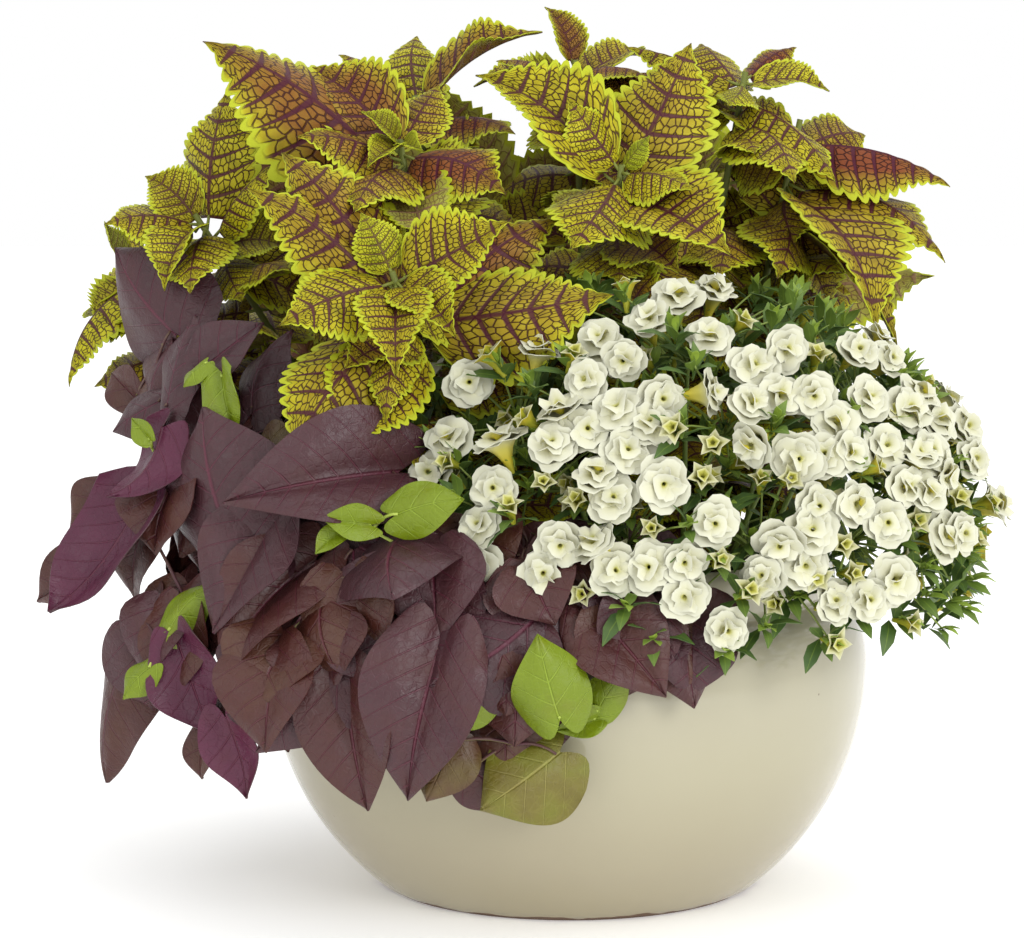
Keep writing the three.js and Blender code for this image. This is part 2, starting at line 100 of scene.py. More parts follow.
def colour(code):
    """An sRGB hex colour as the linear colour that the nodes take."""
    parts = [int(code[i:i + 2], 16) / 255 for i in (1, 3, 5)]
    linear = [part / 12.92 if part <= 0.04045 else ((part + 0.055) / 1.055) ** 2.4 for part in parts]
    return (*linear, 1)


def add(material, kind, inputs=None, out=0, stops=(), **settings):
    """Adds a node with its settings and its inputs, each a value or the socket that feeds it, and
    gives back the output socket named by out, or all of them for None."""
    node = material.node_tree.nodes.new("ShaderNode" + kind)
    for name, value in settings.items():
        setattr(node, name, value)
    for name, value in (inputs or {}).items():
        if isinstance(value, bpy.types.NodeSocket):
            material.node_tree.links.new(value, node.inputs[name])
        else:
            node.inputs[name].default_value = value
    for index, (place, code) in enumerate(stops):
        ramp = node.color_ramp.elements
        stop = ramp[index] if index < len(ramp) else ramp.new(place)
        stop.position, stop.color = place, colour(code)
    return node.outputs if out is None else node.outputs[out]


# Settings that many nodes share.
SMOOTH = {"interpolation_type": "SMOOTHSTEP"}
RGBA = {"data_type": "RGBA", "out": 2}


def new_material(name, **settings):
    """A material; settings are its shader's own values that are the same all over."""
    material = bpy.data.materials.new(name)
    material.use_nodes = True
    shader = material.node_tree.nodes["Principled BSDF"]
    for key, value in settings.items():
        shader.inputs[key.replace("_", " ")].default_value = value
    return material


def connect(material, **links):
    """Links sockets to the shader and gives the finished material back."""
    shader = material.node_tree.nodes["Principled BSDF"]
    for key, socket in links.items():
        material.node_tree.links.new(socket, shader.inputs[key.replace("_", " ")])
    return material


def floor_material():
    # Matt white acrylic, lit a little from below as on a light table.
    material = new_material("white_acrylic", Roughness=0.9, IOR=1.45, Emission_Color=(1, 1, 1, 1),
                            Emission_Strength=0.2)
    node = partial(add, material)
    place = node("TexCoord", out="Object")
    mottle = node("TexNoise", {"Vector": place, "Scale": 2.0})
    tint = node("Mix", {0: mottle, 6: colour("#fbfbfb"), 7: colour("#ffffff")}, **RGBA)
    return connect(material, Base_Color=tint)


def leaf_coordinates(node):
    """Sockets: across -1..1, along 0..1, the leaf's tone, its flush, and its flat outline's place."""
    blade = node("Attribute", out="Vector", attribute_name="blade")
    parts = node("SeparateXYZ", {0: blade}, out=None)
    flush = node("Attribute", out="Fac", attribute_name="flush")
    flat = node("Attribute", out="Vector", attribute_name="flat")
    side = node("Math", {0: parts[0]}, operation="ABSOLUTE")
    return side, parts[1], parts[2], flush, flat


def vein_lines(node, side, along, count, wide, narrow):
    """1 on the side veins of a leaf and 0 between them; the veins narrow from midrib to margin."""
    step = node("Math", {0: along, 1: float(count)}, operation="MULTIPLY")
    wave = node("Math", {0: step, 1: 0.5}, operation="PINGPONG")
    width = node("MapRange", {0: side, 1: 0.0, 2: 1.0, 3: wide, 4: narrow})
    inner = node("Math", {0: width, 1: 0.45}, operation="MULTIPLY")
    return node("MapRange", {0: wave, 1: inner, 2: width, 3: 1.0, 4: 0.0}, **SMOOTH)


def vein_net(node, flat, cell, wide):
    """1 on a net of fine veins round cells of the given size in millimetres."""
    scale = 100 / cell
    warp = node("TexNoise", {"Vector": flat, "Scale": scale * 0.6, "Detail": 1.0}, out=1)
    bent = node("Mix", {0: 0.02, 4: flat, 5: warp}, out=1, data_type="VECTOR")
    edge = node("TexVoronoi", {"Vector": bent, "Scale": scale}, out="Distance", feature="DISTANCE_TO_EDGE")
    return node("MapRange", {0: edge, 1: wide * 0.4, 2: wide, 3: 1.0, 4: 0.0}, **SMOOTH)


COLEUS_VEINS = 7  # side veins each side of the midrib


def coleus_material(under):
    # Coleus blade: thin soft tissue, quilted between the veins, matt with a faint waxy light on top.
    # Yellow-green with a lime margin, netted with burgundy; older leaves are flushed red-brown.
    name = "coleus_underside" if under else "coleus_blade"
    material = new_material(name, Roughness=0.62 if under else 0.52, IOR=1.4, Specular_IOR_Level=0.3)
    node = partial(add, material)
    side, along, tone, flush, flat = leaf_coordinates(node)
    mottle = node("TexNoise", {"Vector": flat, "Scale": 9.0, "Detail": 3.0})
    ground = node("ValToRGB", {0: mottle}, stops=((0.3, "#9a9c3c" if under else "#8c8a0c"),
                                                  (0.5, "#a9aa4a" if under else "#aaa210"),
                                                  (0.7, "#b5b65c" if under else "#bcb820")))
    young = node("MapRange", {0: tone, 1: 0.3, 2: 1.0, 3: 0.8, 4: 0.0})
    ground = node("Mix", {0: young, 6: ground, 7: colour("#95ad24")}, **RGBA)
    # The flush: deep in the middle, fading out before the margin.
    reach = node("MapRange", {0: side, 1: 0.5, 2: 1.0, 3: 1.0, 4: 0.0})
    tipward = node("MapRange", {0: along, 1: 0.6, 2: 1.0, 3: 1.0, 4: 0.5})
    red = node("Math", {0: reach, 1: tipward}, operation="MULTIPLY")
    red = node("Math", {0: red, 1: flush}, operation="MULTIPLY", use_clamp=True)
    warm = node("Mix", {0: red, 6: ground, 7: colour("#74301f")}, **RGBA)
    # The net: about two cells between neighbouring side veins and nine from midrib to margin.
    margin = node("MapRange", {0: side, 1: 0.84, 2: 0.95, 3: 1.0, 4: 0.0}, **SMOOTH)
    rim = node("Mix", {0: margin, 6: colour("#adb526"), 7: warm}, **RGBA)
    blade = node("Attribute", out="Vector", attribute_name="blade")
    stretched = node("VectorMath", {0: blade, 1: (8.5, 2.2 * COLEUS_VEINS, 0.0), 2: flat},
                     operation="MULTIPLY_ADD")
    edge = node("TexVoronoi", {"Vector": stretched, "Scale": 1.0, "Randomness": 0.85}, out="Distance",
                feature="DISTANCE_TO_EDGE", voronoi_dimensions="2D")
    net = node("MapRange", {0: edge, 1: 0.03, 2: 0.13, 3: 1.0, 4: 0.0}, **SMOOTH)
    net = node("Math", {0: net, 1: margin}, operation="MULTIPLY")
    grown = node("MapRange", {0: tone, 1: 0.2, 2: 1.0, 3: 0.3, 4: 0.5 if under else 0.92})
    webbed = node("Math", {0: net, 1: grown}, operation="MULTIPLY")
    netted = node("Mix", {0: webbed, 6: rim, 7: colour("#6b3040" if under else "#361010")}, **RGBA)
    # The midrib and the side veins, broad at the midrib and running out at the margin.
    rib = node("MapRange", {0: side, 1: 0.02, 2: 0.08, 3: 1.0, 4: 0.0}, **SMOOTH)
    laterals = vein_lines(node, side, along, COLEUS_VEINS, 0.17, 0.05)
    veins = node("Math", {0: laterals, 1: margin}, operation="MULTIPLY")
    veins = node("Math", {0: veins, 1: rib}, operation="MAXIMUM")
    ink = node("Math", {0: veins, 1: grown}, operation="MULTIPLY")
    painted = node("Mix", {0: ink, 6: netted, 7: colour("#7c3a58" if under else "#441026")}, **RGBA)
    relief = node("Math", {0: veins, 1: net}, operation="MAXIMUM")
    bump = node("Bump", {"Height": relief, "Distance": 0.0008, "Strength": 0.9}, invert=not under)
    return connect(material, Base_Color=painted, Normal=bump)


def vine_material(under):
    # Sweet potato blade: smooth firm tissue with a satin cuticle, purple-brown above and magenta
    # below; the youngest leaves are lime green on both sides. tone runs from dark to lime.
    name = "vine_underside" if under else "vine_blade"
    material = new_material(name, Roughness=0.5 if under else 0.42, IOR=1.45)
    node = partial(add, material)
    side, _, tone, _, flat = leaf_coordinates(node)
    mottle = node("TexNoise", {"Vector": flat, "Scale": 5.0, "Detail": 4.0})
    stray = node("Math", {0: mottle, 1: 0.3, 2: -0.14}, operation="MULTIPLY_ADD")
    place = node("Math", {0: tone, 1: stray}, operation="ADD", use_clamp=True)
    above = ((0.0, "#361d22"), (0.18, "#43252a"), (0.38, "#47231b"), (0.55, "#523823"),
             (0.75, "#6b6420"), (0.95, "#6c7e05"))
    below = ((0.0, "#43122b"), (0.2, "#541a36"), (0.4, "#532a28"), (0.55, "#604429"),
             (0.75, "#6c6f38"), (0.95, "#93a650"))
    ground = node("ValToRGB", {0: place}, stops=below if under else above)
    # Side veins sweep forward from the midrib at about 45 degrees, 15 mm apart.
    parts = node("SeparateXYZ", {0: flat}, out=None)
    out = node("Math", {0: parts[0]}, operation="ABSOLUTE")
    sweep = node("Math", {0: out, 1: -0.8, 2: parts[1]}, operation="MULTIPLY_ADD")
    sweep = node("Math", {0: sweep, 1: 2.0}, operation="ADD")
    veins = vein_lines(node, side, sweep, 1 / 0.15, 0.07, 0.025)
    veins = node("Math", {0: veins, 1: 0.62}, operation="MULTIPLY")
    rib = node("MapRange", {0: side, 1: 0.01, 2: 0.045, 3: 1.0, 4: 0.0}, **SMOOTH)
    veins = node("Math", {0: veins, 1: rib}, operation="MAXIMUM")
    net = vein_net(node, flat, 5.0, 0.09)
    soft = node("Math", {0: net, 1: 0.14, 2: veins}, operation="MULTIPLY_ADD")
    pale = node("ValToRGB", {0: place}, stops=((0.0, "#5a1c34"), (0.5, "#54232a"), (0.75, "#928a48"),
                                               (0.95, "#8aa02c")))
    ink = node("Math", {0: soft, 1: 0.75}, operation="MULTIPLY", use_clamp=True)
    painted = node("Mix", {0: ink, 6: ground, 7: pale}, **RGBA)
    # Crinkles about 12 mm across and, between the fine veins, a grain of 1 mm.
    crinkle = node("TexNoise", {"Vector": flat, "Scale": 8.0, "Detail": 2.0})
    grain = node("TexNoise", {"Vector": flat, "Scale": 90.0, "Detail": 2.0})
    height = node("Math", {0: grain, 1: 0.3, 2: soft}, operation="MULTIPLY_ADD")
    height = node("Math", {0: crinkle, 1: 2.2, 2: height}, operation="MULTIPLY_ADD")
    bump = node("Bump", {"Height": height, "Distance": 0.0011, "Strength": 0.8}, invert=not under)
    gloss = node("MapRange", {0: mottle, 1: 0.3, 2: 0.7, 3: 0.34, 4: 0.5})
    return connect(material, Base_Color=painted, Normal=bump, Roughness=gloss)


def petal_material(outside):
    # Calibrachoa petals: thin, soft and matt; cream at the rim, yellow-green down the throat and
    # clear yellow on the outside of the tube.
    name = "calibrachoa_petal_outside" if outside else "calibrachoa_petal"
    material = new_material(name, Roughness=0.6, IOR=1.38)
    node = partial(add, material)
    _, along, tone, _, flat = leaf_coordinates(node)
    blush = node("MapRange", {0: tone, 1: 0.0, 2: 1.0, 3: 0.0, 4: 0.9})
    depth = node("Math", {0: along, 1: blush}, operation="SUBTRACT", use_clamp=True)
    inside = ((0.0, "#a5a342"), (0.2, "#bfbd78"), (0.45, "#c8c7a0"), (0.75, "#cecdb0"), (1.0, "#d0d0bc"))
    back = ((0.0, "#a3a32c"), (0.25, "#c6b632"), (0.55, "#c6bd5c"), (0.8, "#cbc795"), (1.0, "#cdccb2"))
    ground = node("ValToRGB", {0: depth}, stops=back if outside else inside)
    lines = node("TexNoise", {"Vector": flat, "Scale": 3.2, "Detail": 2.0})
    streak = node("MapRange", {0: lines, 1: 0.35, 2: 0.65, 3: 0.9, 4: 1.0})
    painted = node("Mix", {0: 0.6, 6: ground, 7: streak}, **RGBA, blend_type="MULTIPLY")
    bump = node("Bump", {"Height": lines, "Distance": 0.0004, "Strength": 0.4})
    return connect(material, Base_Color=painted, Normal=bump)


def herb_material(name, dark, light, roughness):
    # Small green leaves, calyces and green stems: waxy and fairly matt, paler where young.
    material = new_material(name, Roughness=roughness, IOR=1.43)
    node = partial(add, material)
    side, _, tone, _, flat = leaf_coordinates(node)
    mottle = node("TexNoise", {"Vector": flat, "Scale": 9.0, "Detail": 2.0})
    place = node("Math", {0: mottle, 1: 0.3, 2: tone}, operation="MULTIPLY_ADD")
    ground = node("ValToRGB", {0: place}, stops=((0.1, dark), (1.0, light)))
    rib = node("MapRange", {0: side, 1: 0.0, 2: 0.12, 3: 0.35, 4: 0.0})
    painted = node("Mix", {0: rib, 6: ground, 7: colour(light)}, **RGBA)
    bump = node("Bump", {"Height": mottle, "Distance": 0.0004, "Strength": 0.3})
    return connect(material, Base_Color=painted, Normal=bump)


def glaze_material():
    # Stoneware, dipped in a cream celadon glaze and fired: glassy, darker and a little yellower
    # towards the bottom, with pinholes, and bare brown clay round the foot.
    material = new_material("celadon_glaze", IOR=1.52)
    node = partial(add, material)
    place = node("TexCoord", out="Object")
    height = node("SeparateXYZ", {0: place}, out=2)
    cloud = node("TexNoise", {"Vector": place, "Scale": 9.0, "Detail": 3.0})
    # The body colour runs darker and a little yellower towards the bottom over the whole height, with clouds
    # through it.
    level = node("MapRange", {0: height, 1: 0.0, 2: 0.2, 3: 0.0, 4: 1.0})
    level = node("Math", {0: cloud, 1: 0.3, 2: level}, operation="MULTIPLY_ADD")
    body = node("ValToRGB", {0: level}, stops=((0.05, "#9c9274"), (0.35, "#a29980"), (0.7, "#a8a289"),
                                               (1.0, "#ada892")))
    # Pinholes: 1 mm dots, one for every 22 mm or so, and only where the spots let them.
    dots = node("TexVoronoi", {"Vector": place, "Scale": 1 / 0.022}, out=None)
    spots = node("TexNoise", {"Vector": place, "Scale": 30.0})
    size = node("MapRange", {0: spots, 1: 0.5, 2: 0.7, 3: 0.0, 4: 0.05})
    hole = node("Math", {0: dots["Distance"], 1: size}, operation="LESS_THAN")
    fleck = node("Math", {0: hole, 1: 0.75}, operation="MULTIPLY")
    body = node("Mix", {0: fleck, 6: body, 7: colour("#5d4a35")}, **RGBA)
    # The bare foot, with an uneven glaze line 2 to 4 mm up.
    ragged = node("TexNoise", {"Vector": place, "Scale": 45.0, "Detail": 2.0})
    line = node("MapRange", {0: ragged, 1: 0.3, 2: 0.7, 3: 0.0008, 4: 0.0042})
    bare = node("Math", {0: height, 1: line}, operation="LESS_THAN")
    painted = node("Mix", {0: bare, 6: body, 7: colour("#6b5340")}, **RGBA)
    gloss = node("MapRange", {0: cloud, 1: 0.3, 2: 0.7, 3: 0.07, 4: 0.13})
    gloss = node("Math", {0: bare, 1: 0.7, 2: gloss}, operation="MULTIPLY_ADD")
    rings = node("TexWave", {"Vector": place, "Scale": 12.0, "Distortion": 3.0, "Detail": 1.0}, out=1,
                 bands_direction="Z")
    dent = node("Math", {0: hole, 1: -1.0, 2: rings}, operation="MULTIPLY_ADD")
    bump = node("Bump", {"Height": dent, "Distance": 0.0004, "Strength": 0.35})
    return connect(material, Base_Color=painted, Roughness=gloss, Normal=bump)


def earth_material():
    # Potting mix: damp bark and peat crumbs, quite matt.
    material = new_material("potting_mix", Roughness=0.95, IOR=1.4)
    node = partial(add, material)
    place = node("TexCoord", out="Object")
    crumbs = node("TexVoronoi", {"Vector": place, "Scale": 1 / 0.005}, out=None)
    # Each crumb is lighter in its middle and darkens down into the low gaps between crumbs, where the bump
    # sinks: painted shade in the gaps, over the mix's own browns.
    ground = node("ValToRGB", {0: crumbs["Distance"]}, stops=((0.1, "#4b3424"), (0.5, "#36261b"),
                                                              (0.9, "#1f1610")))
    bump = node("Bump", {"Height": crumbs["Distance"], "Distance": 0.002, "Strength": 1.0}, invert=True)
    return connect(material, Base_Color=ground, Normal=bump)


# ---- Growing shapes ----

class Growth:
    """One piece's mesh as it grows: blades first, then their thickness, then stems."""

    def __init__(self):
        self.bm = bmesh.new()
        layers = self.bm.verts.layers
        self.blade = layers.float_vector.new("blade")
        self.flat = layers.float_vector.new("flat")
        self.flush = layers.float.new("flush")

    def sheet(self, columns, rows, place, slot, tone=0.0, flush=0.0, seed=0.0):
        """A grid from side to side and from base to tip; place(across, along) gives each point in
        the piece's frame and where it lies on the flat leaf, in millimetres."""
        made = bmesh.ops.create_grid(self.bm, x_segments=columns, y_segments=rows, size=1)["verts"]
        for face in {face for vert in made for face in vert.link_faces}:
            face.material_index, face.smooth = slot, True
        for vert in made:
            across, along = vert.co.x, (vert.co.y + 1) / 2
            point, (x, y) = place(across, along)
            vert.co = point * MM
            vert[self.blade] = (across, along, tone)
            vert[self.flat] = (x / 100, y / 100, seed)
            vert[self.flush] = flush

    def thicken(self, thickness, undersides):
        """Gives every blade its thickness; undersides says which slot is the back of which."""
        weld = [vert for vert in self.bm.verts if vert.is_boundary]
        bmesh.ops.remove_doubles(self.bm, verts=weld, dist=WELD)
        fronts = self.bm.faces[:]
        made = bmesh.ops.solidify(self.bm, geom=fronts, thickness=thickness * MM)["geom"]
        backs = {item for item in made if isinstance(item, bmesh.types.BMFace)}
        for face in set(self.bm.faces) - backs - set(fronts):
            for edge in face.edges:
                edge.smooth = False
        for face in backs:
            face.material_index = undersides.get(face.material_index, face.material_index)

    def rod(self, line, radii, sides, slot, tone=0.0):
        """A round stem along a line of points, from the first radius to the last, with round ends."""
        last = len(line) - 1
        ways = [(line[min(i + 1, last)] - line[max(i - 1, 0)]).normalized() for i in range(last + 1)]
        frames, ref = [], ways[0].orthogonal().normalized()
        for way in ways:
            ref = (ref - way * ref.dot(way)).normalized()
            frames.append((ref, way.cross(ref)))
        stations = [(0, 0)] + [(i, 1) for i in range(last + 1)] + [(last, 0)]

        def place(across, along):
            i, full = stations[round(along * (len(stations) - 1))]
            radius = (radii[0] + (radii[1] - radii[0]) * i / last) * full
            turn = math.pi * across
            u, v = frames[i]
            return line[i] + (u * math.cos(turn) + v * math.sin(turn)) * radius, (radius, i * 4.0)

        first = len(self.bm.verts)
        self.sheet(sides, len(stations) - 1, place, slot, tone)
        self.bm.verts.ensure_lookup_table()
        bmesh.ops.remove_doubles(self.bm, verts=self.bm.verts[first:], dist=WELD)

    def finish(self, name, materials, node):
        piece = new_object(name, self.bm, materials)
        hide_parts(node)
        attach(piece, BODY)


def new_object(name, bm, materials):
    mesh = bpy.data.meshes.new(name)
    bm.to_mesh(mesh)
    bm.free()
    for material in materials:
        mesh.materials.append(material)
    made = bpy.data.objects.new(name, mesh)
    bpy.context.collection.objects.link(made)
    return made


def smooth_line(points, steps):
    """A Catmull-Rom line through the points, with that many steps between each two."""
    points = [Vector(point) for point in points]
    ends = [points[0] * 2 - points[1]] + points + [points[-1] * 2 - points[-2]]
    line = []
    for a, b, c, d in zip(ends, ends[1:], ends[2:], ends[3:]):
        for i in range(steps):
            t = i / steps
            line.append(0.5 * (2 * b + (c - a) * t + (2 * a - 5 * b + 4 * c - d) * t * t
                               + (3 * b - a - 3 * c + d) * t ** 3))
    return line + [points[-1]]


def stem_line(root, points, steps):
    """A stem's line: straight up out of the soil, then through the points."""
    return smooth_line([(*root, STEM_FOOT), (*root, STEM_FOOT + 20), *points], steps)


def below_tip(line, drop):
    """The point that lies this far back along the line from its last point."""
    for near, far in zip(line[::-1], line[-2::-1]):
        step = (near - far).length
        if drop <= step:
            return near.lerp(far, drop / step)
        drop -= step
    return line[0]


def stand(base, tip, facing):
    """The turn that lays a blade from base to tip with its face towards facing."""
    along = (tip - base).normalized()
    front = (facing - along * facing.dot(along)).normalized()
    turn = Matrix((along.cross(front), along, front)).transposed().to_4x4()
    turn.translation = base
    return turn


# ---- Bowl and soil ----

BOWL_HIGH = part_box("planter_bowl")[1]
BELLY_RADIUS = BOWL_HIGH[0] / MM
RIM_HEIGHT = BOWL_HIGH[2] / MM + 0.1
BELLY_HEIGHT = 147
BELLY_DEPTH = 188.4
NECK_RADIUS = 168
NECK_HEIGHT = 190
RIM_RADIUS = 174
RIM_BAND = 16
WALL = 9
FLOOR = 12
SOIL_HEIGHT = 192
SOIL_CROWN = 5
DRAIN_CIRCLE = 60
DRAIN_RADIUS = 6
DRAINS = 3
CHIPS = 160  # bark chips on the soil
CHIP_REACH = 150


def bowl_radius(height):
    """The outer radius of the bowl's wall at a height: one ellipse up to the belly, one above it."""
    if height <= BELLY_HEIGHT:
        return BELLY_RADIUS * math.sqrt(1 - ((BELLY_HEIGHT - height) / BELLY_DEPTH) ** 2)
    rise = min((height - BELLY_HEIGHT) / (NECK_HEIGHT - BELLY_HEIGHT), 1)
    return NECK_RADIUS + (BELLY_RADIUS - NECK_RADIUS) * math.sqrt(1 - rise * rise)


def bowl_outline():
    """The bowl's section as radius and height: foot, wall, rolled rim, inside wall and floor."""
    line = [(0, 0.0), (DRAIN_CIRCLE * 2 - 4, 0.0)]
    line += [(bowl_radius(h) - 1.5 * max(0, 1 - h / 2.5), h) for h in (0, 0.8, 1.8, 3, 5)]
    line += [(bowl_radius(h), h) for h in range(9, NECK_HEIGHT - 1, 6)]
    line += [(NECK_RADIUS + 0.4, NECK_HEIGHT - 2), (NECK_RADIUS - 0.8, NECK_HEIGHT)]
    half = RIM_BAND / 2
    middle = RIM_HEIGHT - half
    line += [(RIM_RADIUS - 1.6, NECK_HEIGHT + 1.5), (RIM_RADIUS - 0.3, NECK_HEIGHT + 6)]
    for i in range(9):
        turn = math.pi * i / 8
        line.append((RIM_RADIUS - half + half * math.cos(turn), middle + half * math.sin(turn)))
    line += [(bowl_radius(h) - WALL, h) for h in range(NECK_HEIGHT - 2, FLOOR + 3, -8)]
    return line + [(bowl_radius(FLOOR) - WALL - 3, FLOOR), (0, FLOOR)]


def make_bowl(glaze):
    bm = bmesh.new()
    verts = [bm.verts.new((radius * MM, 0, height * MM)) for radius, height in bowl_outline()]
    edges = [bm.edges.new(pair) for pair in zip(verts, verts[1:])]
    bmesh.ops.spin(bm, geom=verts + edges, axis=(0, 0, 1), cent=(0, 0, 0), angle=2 * math.pi,
                   steps=120, use_merge=True)
    bmesh.ops.remove_doubles(bm, verts=bm.verts, dist=WELD)
    bmesh.ops.recalc_face_normals(bm, faces=bm.faces)
    for face in bm.faces:
        face.smooth = True
    bowl = new_object("glazed_bowl", bm, [glaze])
    drills = bmesh.new()
    for i in range(DRAINS):
        turn = 2 * math.pi * (i + 0.25) / DRAINS
        place = Vector((math.cos(turn), math.sin(turn), 0)) * DRAIN_CIRCLE * MM
        bmesh.ops.create_cone(drills, cap_ends=True, segments=24, radius1=DRAIN_RADIUS * MM,
                              radius2=DRAIN_RADIUS * MM, depth=3 * FLOOR * MM,
                              matrix=Matrix.Translation(place))
    drill = new_object("drill", drills, [])
    cut = bowl.modifiers.new("drains", "BOOLEAN")
    cut.operation, cut.object = "DIFFERENCE", drill
    drilled = bpy.data.meshes.new_from_object(bowl.evaluated_get(bpy.context.evaluated_depsgraph_get()))
    bowl.modifiers.clear()
    bowl.data = drilled
    bpy.data.objects.remove(drill)
    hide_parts("planter_bowl")
    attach(bowl, BODY)


def make_soil(earth, rng):
    """A crumbly disc with bark chips lying on it; it stays inside the bowl under the rim."""
    bm = bmesh.new()
    reach = NECK_RADIUS - WALL - 2
    bmesh.ops.create_grid(bm, x_segments=70, y_segments=70, size=reach * MM)
    for vert in bm.verts:
        x, y = vert.co.x, vert.co.y
        square = max(abs(x), abs(y))
        shrink = square / math.hypot(x, y) if square else 1
        vert.co.x, vert.co.y = x * shrink, y * shrink
        share = square / (reach * MM)
        lift = SOIL_HEIGHT - 4 + (SOIL_CROWN + 2) * (1 - share * share) + rng.uniform(-1.6, 1.6)
        vert.co.z = lift * MM
    edge = [edge for edge in bm.edges if edge.is_boundary]
    wall = bmesh.ops.extrude_edge_only(bm, edges=edge)["geom"]
    for vert in [item for item in wall if isinstance(item, bmesh.types.BMVert)]:
        vert.co.z = (SOIL_HEIGHT - 30) * MM
    bmesh.ops.holes_fill(bm, edges=[edge for edge in bm.edges if edge.is_boundary])
    bmesh.ops.recalc_face_normals(bm, faces=bm.faces)
    for _ in range(CHIPS):
        turn, out = rng.uniform(0, 2 * math.pi), CHIP_REACH * math.sqrt(rng.random())
        place = Vector((out * math.cos(turn), out * math.sin(turn), SOIL_HEIGHT + SOIL_CROWN * 0.4))
        tilt = Matrix.Rotation(rng.uniform(0, 6), 4, "Z") @ Matrix.Rotation(rng.uniform(-0.5, 0.5), 4, "X")
        size = Matrix.Diagonal((rng.uniform(3, 8) * MM, rng.uniform(2, 4) * MM, rng.uniform(1, 2) * MM, 1))
        chip = Matrix.Translation(place * MM) @ tilt @ size
        bmesh.ops.create_icosphere(bm, subdivisions=1, radius=1, matrix=chip)
    for face in bm.faces:
        face.smooth = True
    soil = new_object("potting_mix", bm, [earth])
    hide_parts("potting_soil")
    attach(soil, BODY)


def clear_of_bowl(point, gap=2.0):
    """A point of a leaf that would lie in the bowl's wall or rim, laid on the outside of it."""
    if point.z > RIM_HEIGHT + gap:
        return point
    out = math.hypot(point.x, point.y)
    least = max(bowl_radius(max(point.z, 0)), RIM_RADIUS if point.z > NECK_HEIGHT - 4 else 0) + gap
    if out >= least or out < RIM_RADIUS - RIM_BAND - 16:
        return point
    return Vector((point.x * least / out, point.y * least / out, point.z))


# ---- Coleus ----

COLEUS_STEM = 3.4
COLEUS_TEETH = 12  # each side of a leaf
STEM_FOOT = SOIL_HEIGHT - 14

